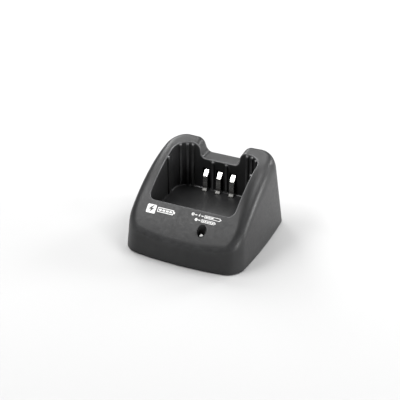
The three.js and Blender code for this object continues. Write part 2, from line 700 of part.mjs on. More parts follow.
// A flat strip bent along a line of [y, z] points, as wide as the contact, centred on x = 0.
function strip(points, thickness, width) {
  const line = points.map(([y, z]) => new THREE.Vector2(y, z));
  const offset = (i, side) => {
    const before = line[Math.max(i - 1, 0)];
    const after = line[Math.min(i + 1, line.length - 1)];
    const inward = line[i].clone().sub(before).normalize();
    const outward = after.clone().sub(line[i]).normalize();
    const along = inward.clone().add(outward).normalize();
    const reference = i === 0 ? outward : inward;
    const stretch = 1 / Math.max(0.5, along.dot(reference));
    return new THREE.Vector2(-along.y, along.x).multiplyScalar((side * thickness * stretch) / 2).add(line[i]);
  };
  const left = line.map((_, i) => offset(i, 1));
  const right = line.map((_, i) => offset(i, -1)).reverse();
  const outline = new THREE.Shape([...left, ...right]);
  const geometry = new THREE.ExtrudeGeometry(outline, { depth: width, bevelEnabled: false });
  // The shape's x is the charger's Y, its y is Z, and the extrusion runs along X.
  const turn = new THREE.Matrix4().makeBasis(
    new THREE.Vector3(0, 1, 0), new THREE.Vector3(0, 0, 1), new THREE.Vector3(1, 0, 0),
  );
  return geometry.applyMatrix4(turn).translate(-width / 2, 0, 0);
}

// The spring's [y, z] points: up through the floor, back along a sloping foot, up the upright, and
// over the knee to its tip in the wall slot.
const UPRIGHT = 21.25;
const springLine = [
  [CONTACT_FOOT, CONTACT_ROOT], [CONTACT_FOOT, CONTACT_ROOT + 0.3],
  [CONTACT_FOOT + 0.12, 19.5], [CONTACT_FOOT + 0.4, 19.8],
  [UPRIGHT - 0.55, 20.45], [UPRIGHT - 0.15, 20.95], [UPRIGHT, 21.6], [UPRIGHT, KNEE_HEIGHT - 0.8],
  [UPRIGHT + 0.05, KNEE_HEIGHT], [UPRIGHT + 0.4, KNEE_HEIGHT + 0.6], [24.9, 33], [25.5, 33.4],
];
const TAIL_END = CARRIER.bottom - 1.2;
const tailLine = [[CONTACT_FOOT, TAIL_END], [CONTACT_FOOT, CONTACT_ROOT - GAP]];

for (const [side, x] of contacts) {
  add(`contact_spring_${side}`, strip(springLine, CONTACT_THICKNESS, CONTACT_WIDTH), NICKEL, x);
  add(`contact_tail_${side}`, strip(tailLine, CONTACT_THICKNESS, CONTACT_WIDTH), NICKEL, x);
}

function carrier() {
  const { halfWidth, front, back, bottom, top } = CARRIER;
  let block = solid(box(-halfWidth, halfWidth, front, back, bottom, top));
  block = block.add(solid(box(-CARRIER_EAR.end, CARRIER_EAR.end, front, back, bottom, CARRIER_EAR.top)));
  const w = CONTACT_WIDTH / 2 + GAP;
  const t = CONTACT_THICKNESS / 2 + GAP;
  for (const [, x] of contacts) {
    const channel = box(x - w, x + w, CONTACT_FOOT - t, CONTACT_FOOT + t, bottom - 1, top + 1);
    block = block.subtract(solid(channel));
  }
  for (const [, sign] of SIDES) {
    const hole = post(CARRIER_SCREW.radius + GAP, bottom - 1, CARRIER_EAR.top + 1, 12);
    block = block.subtract(solid(hole, sign * CARRIER_SCREW.x, CARRIER_SCREW.y));
  }
  return geometryOf(block);
}

add('contact_carrier', carrier(), { color: 0x1d1d1f, roughness: 0.6, metalness: 0 });

for (const [side, sign] of SIDES) {
  const head = 1;
  const foot = CARRIER.bottom - GAP - head;
  const body = screw(2, head, CARRIER_SCREW.radius, CARRIER_SCREW.tip - foot);
  add(`carrier_screw_${side}`, body, STEEL, sign * CARRIER_SCREW.x, CARRIER_SCREW.y, foot);
}

// Each wire drops from its contact's tail and curves back to the board.
const WIRE_RADIUS = 0.6;
const wireStart = TAIL_END - GAP;
const wireRoute = (x, drift) => [
  [x, CONTACT_FOOT, wireStart], [x, CONTACT_FOOT, wireStart - 0.6],
  [x + 0.3 * drift, CONTACT_FOOT + 0.7, 9.4], [x + drift, CONTACT_FOOT + 2.2, 9.1],
  [x + 1.3 * drift, CONTACT_FOOT + 3.2, 8.6],
  [x + 1.3 * drift, CONTACT_FOOT + 3.3, BOARD_TOP],
];
const wireColours = { left: 0x1a1a1a, center: 0xd8b21c, right: 0xa51d1d };

for (const [side, x] of contacts) {
  const route = new THREE.CatmullRomCurve3(wireRoute(x, Math.sign(x)).map((p) => new THREE.Vector3(...p)));
  const section = new THREE.Shape();
  section.absarc(0, 0, WIRE_RADIUS, 0, 2 * Math.PI);
  const sweep = { steps: 18, curveSegments: 4, extrudePath: route, bevelEnabled: false };
  const tube = new THREE.ExtrudeGeometry(section, sweep);
  add(`contact_wire_${side}`, tube, { color: wireColours[side], roughness: 0.6, metalness: 0 });
}

export default charger;
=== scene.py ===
from math import cos, hypot, pi, radians, sin, tan

import bmesh
import bpy
import numpy as np
from mathutils import Matrix, Vector


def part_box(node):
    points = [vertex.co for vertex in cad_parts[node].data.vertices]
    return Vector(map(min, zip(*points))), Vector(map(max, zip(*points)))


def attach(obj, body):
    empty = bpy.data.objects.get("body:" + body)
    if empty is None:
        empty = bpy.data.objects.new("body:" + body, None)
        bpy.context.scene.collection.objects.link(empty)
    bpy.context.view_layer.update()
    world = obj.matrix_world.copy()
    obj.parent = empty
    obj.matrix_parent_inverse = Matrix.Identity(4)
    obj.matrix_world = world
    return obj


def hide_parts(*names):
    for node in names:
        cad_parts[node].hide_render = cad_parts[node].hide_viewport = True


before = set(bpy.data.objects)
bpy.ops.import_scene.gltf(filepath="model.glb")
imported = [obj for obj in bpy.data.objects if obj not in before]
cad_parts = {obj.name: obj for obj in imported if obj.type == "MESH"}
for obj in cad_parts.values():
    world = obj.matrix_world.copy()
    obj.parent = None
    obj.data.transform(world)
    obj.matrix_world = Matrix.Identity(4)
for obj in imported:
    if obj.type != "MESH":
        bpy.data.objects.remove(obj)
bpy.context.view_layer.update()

MM = 0.001

# -------- driving dimensions, in mm

# Housing: the outer plan where it meets the desk. Each wall bows outwards in the middle.
HALF_WIDTH = 39.2
FRONT = -37.3
BACK = 40.3
SIDE_BOW = 1.9
FRONT_BOW = 3.7
BACK_BOW = 0.6
FRONT_RADIUS = 9.2
BACK_RADIUS = 7.0
HORN_FLAT = 7.0
HORN_FLAT_HEIGHT = 45.0
SIDE_DRAFT, FRONT_DRAFT, BACK_DRAFT = 0.053, 0.13, 0.135
HOUSING_BOTTOM = 0.5
WALL = 2.2

# Housing: the top falls from the horns at the back to the front edge of the deck.
POCKET_FRONT_HEIGHT = 30.85
TOP_SLOPE = 0.804
TOP_CURVE = 0.008
TOP_CURVED_LENGTH = 40.8

# Housing: how far the rounding of the shoulder reaches from the sharp edge.
SHOULDER_FRONT = 2.4
SHOULDER_FRONT_CORNER = 8.6
SHOULDER_SIDE = 9.3
SHOULDER_HORN = 5.0
SHOULDER_NOTCH = 2.4

# Pocket that the radio drops into.
POCKET_HALF_WIDTH = 29.0
POCKET_FRONT = -21.25
POCKET_BACK = 23.5
POCKET_FLOOR = 19.4
POCKET_FRONT_RADIUS = 4.2
POCKET_BACK_RADIUS = 9.8
POCKET_DRAFT = 0.012
RIM_RADIUS = 0.65
FLOOR_FILLET = 1.0
UNDER_POCKET = POCKET_FLOOR - 2.2

# Notch in the back wall, which clears the radio's belt clip.
NOTCH_LEDGE = 41.0
NOTCH_FLAT = 9.8
NOTCH_FOOT_RADIUS = 3.6
NOTCH_LIP_RADIUS = 5.0
NOTCH_LEAN_DEGREES = 8
NOTCH_LEAN = radians(NOTCH_LEAN_DEGREES)
HORN_HEIGHT = 51.0
NOTCH_HEIGHT = HORN_HEIGHT - NOTCH_LEDGE

# Charging contacts, which come up through slots in the floor and stand in front of slots in the wall.
CONTACT_THICKNESS = 0.4
WALL_SLOT_WIDTH, WALL_SLOT_FRONT, WALL_SLOT_BACK, WALL_SLOT_TOP = 5.2, 22.2, 27.5, 34.6
FLOOR_SLOT_WIDTH, FLOOR_SLOT_FRONT, FLOOR_SLOT_BACK = 4.0, 19.1, 20.7

# Lamp well in the deck.
WELL_RADIUS = 2.8
WELL_BOTTOM = 17.4

# Power inlet.
INLET_HOLE = 3.8
INLET_HOLE_BEVEL = 0.6

# How many columns each stretch of the plan has.
FRONT_STEPS, CORNER_STEPS, SIDE_STEPS, HORN_STEPS, NOTCH_FLAT_STEPS, NOTCH_STEPS = 22, 16, 40, 5, 4, 11


def middle(node):
    """The middle of a CAD node's box, in mm."""
    low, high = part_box(node)
    return (low + high) / 2 / MM


def extent(node):
    """The lowest and highest corner of a CAD node's box, in mm."""
    low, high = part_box(node)
    return low / MM, high / MM


def upright(node):
    """Where an upright round CAD node stands, its radius and its height, in mm."""
    low, high = extent(node)
    x, y, _ = (low + high) / 2
    return (x, y, low[2]), (high[0] - low[0]) / 2, high[2] - low[2]


# -------- making pieces

def add_object(name, data):
    thing = bpy.data.objects.new(name, data)
    bpy.context.scene.collection.objects.link(thing)
    return thing


def new_object(name, mesh):
    """Adds a mesh made in mm as an object in metres."""
    mesh.transform(Matrix.Scale(MM, 4))
    return add_object(name, mesh)


def from_points(name, points, faces):
    """A mesh in mm from points and faces, with its normals made to face outwards."""
    mesh = bpy.data.meshes.new(name)
    mesh.from_pydata([tuple(p) for p in points], [], faces)
    form = bmesh.new()
    form.from_mesh(mesh)
    bmesh.ops.remove_doubles(form, verts=form.verts, dist=1e-5)
    bmesh.ops.recalc_face_normals(form, faces=form.faces)
    form.to_mesh(mesh)
    form.free()
    return mesh


def quads(a, b, n):
    """The faces between two closed rings of n points, which start at points a and b."""
    return [(a + i, a + (i + 1) % n, b + (i + 1) % n, b + i) for i in range(n)]


def arc(steps, degrees=90):
    """The angles of an arc's points, from 0."""
    return [radians(degrees) * i / steps for i in range(steps + 1)]


def oblong(u0, u1, v0, v1, radius, steps=4):
    """The outline of a rectangle with rounded corners."""
    u0, u1, v0, v1 = u0 + radius, u1 - radius, v0 + radius, v1 - radius
    outline = []
    for u, v, start in ((u1, v1, 0), (u0, v1, 90), (u0, v0, 180), (u1, v0, 270)):
        turns = [radians(start) + a for a in arc(steps)]
        outline += [(u + radius * cos(a), v + radius * sin(a)) for a in turns]
    return outline


def smooth_shade(thing, degrees=35):
    """Smooth shading, with edges sharper than this left crisp."""
    thing.data.polygons.foreach_set("use_smooth", [True] * len(thing.data.polygons))
    thing.data.set_sharp_from_angle(angle=radians(degrees))
    return thing


def apply_modifiers(thing):
    """Makes a piece's modifiers part of its mesh."""
    graph = bpy.context.evaluated_depsgraph_get()
    mesh = bpy.data.meshes.new_from_object(thing.evaluated_get(graph), depsgraph=graph)
    thing.modifiers.clear()
    old = thing.data
    thing.data = mesh
    bpy.data.meshes.remove(old)


def combine(target, tools, operation):
    """Joins the tools to the target, or cuts them out of it, and uses them up."""
    for tool in tools:
        step = target.modifiers.new("combine", "BOOLEAN")
        step.operation = operation
        step.solver = "MANIFOLD"
        step.object = tool
        bpy.context.view_layer.update()
        apply_modifiers(target)
        bpy.data.objects.remove(tool)


def lathe(name, profile, centre=(0, 0, 0), axis="Z", steps=48):
    """A solid turned about the Z or Y axis through centre. Its profile of [radius, height] points starts
    and ends on the axis."""
    turns = arc(steps, 360)[:-1]
    points = [(r * cos(a), r * sin(a), height) for r, height in profile for a in turns]
    faces = []
    for i in range(1, len(profile)):
        faces += quads((i - 1) * steps, i * steps, steps)
    mesh = from_points(name, points, faces)
    if axis == "Y":
        mesh.transform(Matrix.Rotation(-pi / 2, 4, "X"))
    mesh.transform(Matrix.Translation(Vector(centre)))
    return new_object(name, mesh)


def block(name, low, high, radius, segments=3):
    """A box with rounded edges, given by its corners."""
    low, high = Vector(low), Vector(high)
    form = bmesh.new()
    bmesh.ops.create_cube(form, size=1)
    size = high - low
    bmesh.ops.scale(form, vec=size, verts=form.verts)
    bmesh.ops.translate(form, vec=(low + high) / 2, verts=form.verts)
    bmesh.ops.bevel(form, geom=form.edges, offset=radius, segments=segments, profile=0.5, affect="EDGES")
    mesh = bpy.data.meshes.new(name)
    form.to_mesh(mesh)
    form.free()
    return new_object(name, mesh)


def refined(name, node, bevel, segments=2, degrees=28):
    """A CAD node's shape with its hard edges rounded by bevel."""
    form = bmesh.new()
    form.from_mesh(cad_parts[node].data)
    bmesh.ops.scale(form, vec=(1 / MM,) * 3, verts=form.verts)
    bmesh.ops.remove_doubles(form, verts=form.verts, dist=1e-3)
    bmesh.ops.dissolve_limit(form, angle_limit=radians(0.5), verts=form.verts, edges=form.edges)
    sharp = [
        edge for edge in form.edges
        if len(edge.link_faces) == 2 and edge.calc_face_angle() > radians(degrees)
    ]
    bmesh.ops.bevel(
        form, geom=sharp, offset=bevel, segments=segments, profile=0.5, affect="EDGES", clamp_overlap=True,
    )
    bmesh.ops.remove_doubles(form, verts=form.verts, dist=1e-3)
    mesh = bpy.data.meshes.new(name)
    form.to_mesh(mesh)
    form.free()
    return smooth_shade(new_object(name, mesh))


# -------- materials

def link(tree, source, target):
    tree.links.new(source, target)


def start_material(name):
    material = bpy.data.materials.new(name)
    material.use_nodes = True
    tree = material.node_tree
    shader = tree.nodes["Principled BSDF"]
    place = tree.nodes.new("ShaderNodeTexCoord")
    return material, tree, shader, place.outputs["Object"]


def set_inputs(node, **values):
    """Sets a node's inputs by their names, with _ for a space."""
    for name, value in values.items():
        node.inputs[name.replace("_", " ")].default_value = value


def paint(tree, shader, colour, rough):
    link(tree, colour, shader.inputs["Base Color"])
    link(tree, rough, shader.inputs["Roughness"])


def noise(tree, place, size, detail=2.0, roughness=0.5):
    """Noise whose features are about size mm across."""
    node = tree.nodes.new("ShaderNodeTexNoise")
    set_inputs(node, Scale=1 / (size * MM), Detail=detail, Roughness=roughness)
    link(tree, place, node.inputs["Vector"])
    return node.outputs["Fac"]


def remap(tree, value, low, high, to_low=0, to_high=1):
    node = tree.nodes.new("ShaderNodeMapRange")
    set_inputs(node, From_Min=low, From_Max=high, To_Min=to_low, To_Max=to_high)
    link(tree, value, node.inputs["Value"])
    return node.outputs["Result"]


def calculate(tree, operation, a, b):
    node = tree.nodes.new("ShaderNodeMath")
    node.operation = operation
    for socket, value in zip(node.inputs, (a, b)):
        if isinstance(value, (int, float)):
            socket.default_value = value
        else:
            link(tree, value, socket)
    return node.outputs["Value"]


def blend_colours(tree, factor, a, b):
    node = tree.nodes.new("ShaderNodeMix")
    node.data_type = "RGBA"
    link(tree, factor, node.inputs["Factor"])
    for socket, colour in ((node.inputs["A"], a), (node.inputs["B"], b)):
        if isinstance(colour, tuple):
            socket.default_value = (*colour, 1)
        else:
            link(tree, colour, socket)
    return node.outputs["Result"]


def bump(tree, shader, height, depth, strength=1.0, under=None):
    """Surface relief that is depth mm from its lowest to its highest."""
    node = tree.nodes.new("ShaderNodeBump")
    set_inputs(node, Distance=depth * MM, Strength=strength)
    link(tree, height, node.inputs["Height"])
    if under is not None:
        link(tree, under, node.inputs["Normal"])
    link(tree, node.outputs["Normal"], shader.inputs["Normal"])
    return node.outputs["Normal"]


PLASTIC_SPECULAR = 0.3
# Marked places lighten towards this many times the light tone: partly wear, partly a painted highlight.
WEAR_AND_HIGHLIGHT_LIGHTER = 6
WORN_SMOOTHER = 0.18


def textured_plastic(name, dark, light, roughness, grain=0.32, depth=0.02, wear_and_highlight=False):
    """Moulded plastic with a fine grain, mottling and handling marks. With wear, it is lighter and
    smoother at the points its piece marks: partly rubbed wear, partly a painted highlight."""
    material, tree, shader, place = start_material(name)
    set_inputs(shader, Specular_IOR_Level=PLASTIC_SPECULAR)
    mottle = noise(tree, place, 9, 3)
    colour = blend_colours(tree, remap(tree, mottle, 0.3, 0.7, 0, 1), dark, light)
    scuffs = noise(tree, place, 2.2, 4, 0.65)
    rough = remap(tree, scuffs, 0.3, 0.75, roughness - 0.05, roughness + 0.07)
    if wear_and_highlight:
        mask = tree.nodes.new("ShaderNodeAttribute")
        mask.attribute_name = "wear_and_painted_highlight"
        patchy = remap(tree, noise(tree, place, 3.0, 3), 0.38, 0.6, 0.6, 1)
        wear_and_highlight_amount = calculate(tree, "MULTIPLY", mask.outputs["Fac"], patchy)
        # Lighter here as rubbed wear and as a painted highlight along the rim, rib tips and floor edge.
        colour = blend_colours(tree, wear_and_highlight_amount, colour, tuple(WEAR_AND_HIGHLIGHT_LIGHTER * c for c in light))
        rough = calculate(tree, "SUBTRACT", rough, calculate(tree, "MULTIPLY", wear_and_highlight_amount, WORN_SMOOTHER))
    paint(tree, shader, colour, rough)
    coarse = bump(tree, shader, noise(tree, place, grain * 2.6, 2), depth, 0.6)
    bump(tree, shader, noise(tree, place, grain, 1), depth, 0.8, coarse)
    return material


LOW_DARK_COLOUR = (0.12, 0.118, 0.114)
LOW_DARK_FULL, LOW_DARK_END = POCKET_FLOOR + 2, POCKET_FLOOR + 4
LOW_ROUGHER = 0.3


def metal(name, colour, roughness, brushed=(1, 1, 1), stained=0.28, darker_near_floor=0.0):
    """Metal with fine rolling lines along one axis, and stains. Close to the pocket's floor it may be
    darker and rougher."""
    material, tree, shader, place = start_material(name)
    set_inputs(shader, Metallic=1.0)
    stain = remap(tree, noise(tree, place, 1.6, 4, 0.6), 0.35, 0.75)
    darker = tuple((1 - stained) * c for c in colour)
    colour = blend_colours(tree, stain, colour, darker)
    rough = remap(tree, stain, 0, 1, roughness, roughness + 0.4 * stained)
    # Darker and rougher towards the pocket's floor.
    if darker_near_floor:
        height = tree.nodes.new("ShaderNodeSeparateXYZ")
        link(tree, place, height.inputs["Vector"])
        near_floor_share = remap(tree, height.outputs["Z"], LOW_DARK_FULL * MM, LOW_DARK_END * MM, darker_near_floor, 0)
        colour = blend_colours(tree, near_floor_share, colour, LOW_DARK_COLOUR)
        rough = calculate(tree, "ADD", rough, calculate(tree, "MULTIPLY", near_floor_share, LOW_ROUGHER))
    paint(tree, shader, colour, rough)
    stretch = tree.nodes.new("ShaderNodeMapping")
    set_inputs(stretch, Scale=brushed)
    link(tree, place, stretch.inputs["Vector"])
    bump(tree, shader, noise(tree, stretch.outputs["Vector"], 0.25, 2), 0.003, 0.6)
    return material


def speckled(name, colour, other, roughness, size, depth=0.01, **settings):
    """A surface of two mixed colours with fine relief."""
    material, tree, shader, place = start_material(name)
    spread = remap(tree, noise(tree, place, size, 3), 0.35, 0.65)
    rough = remap(tree, spread, 0, 1, roughness - 0.04, roughness + 0.06)
    paint(tree, shader, blend_colours(tree, spread, colour, other), rough)
    set_inputs(shader, **settings)
    bump(tree, shader, noise(tree, place, size / 6, 2), depth)
    return material


MASK_DARK, MASK_LIGHT, MASK_OVER_COPPER = (0.012, 0.075, 0.03), (0.018, 0.1, 0.04), (0.05, 0.2, 0.07)


def solder_mask(name):
    """Green solder mask over copper tracks."""
    material, tree, shader, place = start_material(name)
    tracks = tree.nodes.new("ShaderNodeTexBrick")
    set_inputs(tracks, Scale=1 / MM, Brick_Width=7.0, Row_Height=1.9, Mortar_Size=0.22, Mortar_Smooth=0.2)
    link(tree, place, tracks.inputs["Vector"])
    weave = noise(tree, place, 0.5, 2)
    base = blend_colours(tree, weave, MASK_DARK, MASK_LIGHT)
    colour = blend_colours(tree, tracks.outputs["Fac"], base, MASK_OVER_COPPER)
    paint(tree, shader, colour, remap(tree, weave, 0.3, 0.7, 0.28, 0.4))
    bump(tree, shader, tracks.outputs["Fac"], 0.03)
    return material


PLASTIC_DARK, PLASTIC_LIGHT = (0.021, 0.0212, 0.0217), (0.0282, 0.0284, 0.029)
PLASTIC = textured_plastic("housing_plastic", PLASTIC_DARK, PLASTIC_LIGHT, 0.39, wear_and_highlight=True)
COVER_PLASTIC = textured_plastic("cover_plastic", (0.014, 0.014, 0.015), (0.019, 0.019, 0.02), 0.5)
BLACK_PLASTIC = textured_plastic("inner_plastic", (0.01, 0.01, 0.011), (0.016, 0.016, 0.017), 0.42, 0.25)
RUBBER = speckled("foot_rubber", (0.012, 0.012, 0.012), (0.02, 0.02, 0.019), 0.82, 0.9, 0.03)
STEEL = metal("screw_steel", (0.46, 0.46, 0.47), 0.3)
NICKEL = metal("contact_nickel", (0.88, 0.87, 0.84), 0.24, (0.2, 1, 1), 0.12, 0.9)
ALUMINIUM = metal("heat_sink_aluminium", (0.72, 0.73, 0.74), 0.34, (1, 1, 0.15))
LABEL = speckled("label_film", (0.52, 0.53, 0.55), (0.6, 0.61, 0.62), 0.36, 1.2, 0.004, Metallic=0.35)
INK = speckled("print_white", (0.92, 0.92, 0.91), (0.98, 0.98, 0.97), 0.42, 0.8, 0.006)
EPOXY_DARK, EPOXY_LIGHT = (0.9, 0.9, 0.89), (0.96, 0.96, 0.94)
EPOXY = speckled("lamp_epoxy", EPOXY_DARK, EPOXY_LIGHT, 0.14, 1.5, 0.002, Transmission_Weight=0.2)
BOARD = solder_mask("board_laminate")
CHIP = speckled("component_black", (0.012, 0.012, 0.013), (0.03, 0.03, 0.031), 0.5, 0.5, 0.01)
FERRITE = speckled("inductor_ferrite", (0.035, 0.032, 0.03), (0.07, 0.064, 0.06), 0.55, 0.7, 0.02)
COPPER = metal("winding_copper", (0.72, 0.3, 0.13), 0.3, (1, 1, 6))
SLEEVE = speckled("capacitor_sleeve", (0.012, 0.02, 0.06), (0.018, 0.03, 0.08), 0.22, 3.0, 0.004)
WIRES = {
    "left": speckled("wire_black", (0.012, 0.012, 0.012), (0.02, 0.02, 0.02), 0.45, 1.5),
    "center": speckled("wire_yellow", (0.62, 0.42, 0.015), (0.7, 0.5, 0.03), 0.42, 1.5),
    "right": speckled("wire_red", (0.42, 0.012, 0.01), (0.5, 0.02, 0.015), 0.42, 1.5),
}


def finish_piece(piece, material, slot, *nodes, body="charger"):
    """Gives a piece its material, hides the CAD nodes it stands in for and puts it on its body."""
    piece.data.materials.clear()
    piece.data.materials.append(material)
    piece.data.polygons.foreach_set("material_index", [0] * len(piece.data.polygons))
    if nodes:
        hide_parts(*nodes)
    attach(piece, body)


def finish_refined(name, node, bevel, material, slot):
    """A piece of the charger that keeps its CAD node's shape, with its edges rounded by bevel."""
    finish_piece(refined(name, node, bevel), material, slot, node)


# -------- housing: the skin of rings

# The housing is a skin of rings stacked from its lower edge up over the shoulder and down into
# the pocket. Every ring has one point in each column. A column belongs to a zone of the plan.
ZONE_FRONT, ZONE_FRONT_CORNER, ZONE_SIDE, ZONE_BACK_CORNER, ZONE_HORN, ZONE_NOTCH = range(6)


def ease(t):
    t = np.clip(t, 0, 1)
    return t * t * (3 - 2 * t)


def mix(a, b, t):
    return a + (b - a) * t


FOOT_END = NOTCH_FLAT + NOTCH_FOOT_RADIUS * cos(NOTCH_LEAN)
FOOT_RISE = NOTCH_FOOT_RADIUS * (1 - sin(NOTCH_LEAN))
LIP_DROP = NOTCH_LIP_RADIUS * (1 - sin(NOTCH_LEAN))
NOTCH_WALL_RUN = (NOTCH_HEIGHT - LIP_DROP - FOOT_RISE) * tan(NOTCH_LEAN)
NOTCH_REACH = FOOT_END + NOTCH_WALL_RUN + NOTCH_LIP_RADIUS * cos(NOTCH_LEAN)


def make_columns():
    """For each column: its zone, how far along the zone it is, and in the notch how far it stands
    from the middle, how far up from the ledge to the horn, and the way into the plastic."""
    spans = (
        (ZONE_FRONT, FRONT_STEPS, range(FRONT_STEPS + 1)),
        (ZONE_FRONT_CORNER, CORNER_STEPS, range(1, CORNER_STEPS + 1)),
        (ZONE_SIDE, SIDE_STEPS, range(1, SIDE_STEPS + 1)),
        (ZONE_BACK_CORNER, CORNER_STEPS, range(1, CORNER_STEPS)),
        (ZONE_HORN, HORN_STEPS, range(HORN_STEPS)),
    )
    rows = [(zone, i / steps, 0, 0, 0, -1) for zone, steps, span in spans for i in span]
    notch = [(ZONE_NOTCH, 0, NOTCH_FLAT * i / NOTCH_FLAT_STEPS, 0, 0, -1) for i in range(NOTCH_FLAT_STEPS)]
    turns = arc(NOTCH_STEPS, 90 - NOTCH_LEAN_DEGREES)
    for a in turns:
        across = NOTCH_FLAT + NOTCH_FOOT_RADIUS * sin(a)
        rise = NOTCH_FOOT_RADIUS * (1 - cos(a)) / NOTCH_HEIGHT
        notch.append((ZONE_NOTCH, 0, across, rise, sin(a), -cos(a)))
    for a in reversed(turns):
        across = NOTCH_REACH - NOTCH_LIP_RADIUS * sin(a)
        rise = 1 - NOTCH_LIP_RADIUS * (1 - cos(a)) / NOTCH_HEIGHT
        notch.append((ZONE_NOTCH, 0, across, rise, sin(a), -cos(a)))
    rows += notch[::-1]
    sides = [1] * len(rows) + [-1] * (len(rows) - 2)
    values = np.array(rows + rows[1:-1][::-1], float).T
    names = ("zone", "at", "across", "up", "into_x", "into_z")
    return {**dict(zip(names, values)), "side": np.array(sides, float)}


COLUMN = make_columns()
COLUMNS = len(COLUMN["zone"])
IN_NOTCH = COLUMN["zone"] == ZONE_NOTCH


def by_zone(front, front_corner, side, back_corner, horn, notch):
    choices = (front, front_corner, side, back_corner, horn, notch)
    flat = [np.broadcast_to(np.asarray(c, float), (COLUMNS,)) for c in choices]
    return np.select([COLUMN["zone"] == k for k in range(6)], flat)


def stand(plan, shift=0.0):
    """Where the columns stand on a plan. shift moves the notch's columns away from the middle."""
    half_width, front, back, front_radius, back_radius, bowed = plan
    at = COLUMN["at"]
    turn = at * pi / 2
    x = by_zone(
        at * (half_width - front_radius),
        half_width - front_radius + front_radius * np.sin(turn),
        half_width,
        half_width - back_radius + back_radius * np.cos(turn),
        mix(half_width - back_radius, NOTCH_REACH, at),
        COLUMN["across"] + shift * COLUMN["into_x"],
    )
    y = by_zone(
        front,
        front + front_radius - front_radius * np.cos(turn),
        mix(front + front_radius, back - back_radius, at),
        back - back_radius + back_radius * np.sin(turn),
        back,
        back,
    )
    if bowed:
        along_side = (2 * y - FRONT - BACK) / (BACK - FRONT)
        along_end = x / HALF_WIDTH
        x = x + along_end * SIDE_BOW * (1 - along_side ** 2)
        bow = np.where(along_side < 0, -FRONT_BOW, BACK_BOW)
        y = y + bow * along_side ** 2 * (1 - along_end ** 2)
    return x * COLUMN["side"], y


CORNER_TIGHTENING = 0.6


def outer_plan(z, inset=0.0):
    """The outer plan at a height, drawn in by inset. Its front corners tighten by a share of that."""
    half_width = HALF_WIDTH - SIDE_DRAFT * z - inset
    straight = mix(HALF_WIDTH - BACK_RADIUS, NOTCH_REACH + HORN_FLAT, ease(z / HORN_FLAT_HEIGHT))
    front = FRONT + FRONT_DRAFT * z + inset
    back = BACK - BACK_DRAFT * z - inset
    front_radius = FRONT_RADIUS - CORNER_TIGHTENING * inset
    return half_width, front, back, front_radius, half_width - straight, True


def pocket_plan(z, grow=0.0):
    """The pocket's plan at a height, made larger by grow."""
    size = grow - POCKET_DRAFT * (HORN_HEIGHT - z)
    return (
        POCKET_HALF_WIDTH + size, POCKET_FRONT - size, POCKET_BACK + size,
        POCKET_FRONT_RADIUS + size, POCKET_BACK_RADIUS + size, False,
    )


def top_height(y):
    """The height of the top over a place, before the notch is taken out."""
    along = y - POCKET_FRONT
    curved = np.minimum(along, TOP_CURVED_LENGTH)
    slope = TOP_SLOPE - 2 * TOP_CURVE * curved
    return POCKET_FRONT_HEIGHT + TOP_SLOPE * curved - TOP_CURVE * curved ** 2 + slope * (along - curved)


def surface_height(y):
    return np.where(IN_NOTCH, mix(NOTCH_LEDGE, top_height(y), COLUMN["up"]), top_height(y))


def sharp_edge(plan_at, rounds=12):
    """The points where wall and top would meet if the edge weren't rounded. Each round comes closer."""
    z = np.full(COLUMNS, HORN_HEIGHT)
    for _ in range(rounds):
        z = surface_height(stand(plan_at(z))[1])
    x, y = stand(plan_at(z))
    return np.stack([x, y, z], 1)


def below_edge(plan_at, edge, depth):
    """The points on a wall, depth away from its top edge."""
    z = edge[:, 2] + depth * np.where(IN_NOTCH, COLUMN["into_z"], -1)
    x, y = stand(plan_at(z), depth)
    return np.stack([x, y, z], 1)


SHOULDER_FULL_AT = 0.6


def shoulder_reach():
    """How far the rounding reaches in each column. On the sides it is full from SHOULDER_FULL_AT on."""
    turn = ease(COLUMN["at"])
    return by_zone(
        SHOULDER_FRONT,
        mix(SHOULDER_FRONT, SHOULDER_FRONT_CORNER, turn),
        mix(SHOULDER_FRONT_CORNER, SHOULDER_SIDE, ease(COLUMN["at"] / SHOULDER_FULL_AT)),
        mix(SHOULDER_SIDE, SHOULDER_HORN, turn),
        SHOULDER_HORN,
        mix(SHOULDER_NOTCH, SHOULDER_HORN, ease(COLUMN["up"])),
    )


def level(plan, z):
    x, y = stand(plan)
    return np.stack([x, y, np.full(COLUMNS, float(z))], 1)


def rounding(a, sharp, b, t):
    """A rounded edge: the curve from a to b, pulled towards the sharp edge."""
    return (1 - t) ** 2 * a + 2 * t * (1 - t) * sharp + t ** 2 * b


def skin(name, rings):
    """Closes a stack of rings into a solid. The first and last rings are flat, and shrink to a point."""
    points = list(np.concatenate(rings))
    last = (len(rings) - 1) * COLUMNS
    faces = []
    for start in range(0, last, COLUMNS):
        faces += quads(start, start + COLUMNS, COLUMNS)
    for first, ring in ((0, rings[0]), (last, rings[-1])):
        points.append(np.array([0.0, 0.0, ring[0][2]]))
        faces += [(len(points) - 1, first + c, first + (c + 1) % COLUMNS) for c in range(COLUMNS)]
    return new_object(name, from_points(name, points, faces))


SHARP = sharp_edge(outer_plan)
POCKET_EDGE = sharp_edge(pocket_plan)
LOWER_EDGE_RADIUS = 0.5
LOWER_EDGE_STEPS, SHOULDER_STEPS, RIM_STEPS, FILLET_STEPS = 3, 12, 5, 5
UP_THE_WALL = (0.04, 0.2, 0.4, 0.6, 0.8, 0.95)
OVER_THE_TOP = (0.125, 0.25, 0.375, 0.5, 0.625, 0.75, 0.875, 0.96, 1)
DOWN_THE_POCKET = (0.015, 0.05, 0.2, 0.4, 0.6, 0.8, 0.97)
ACROSS_THE_FLOOR = (0.03, 0.3, 0.6)


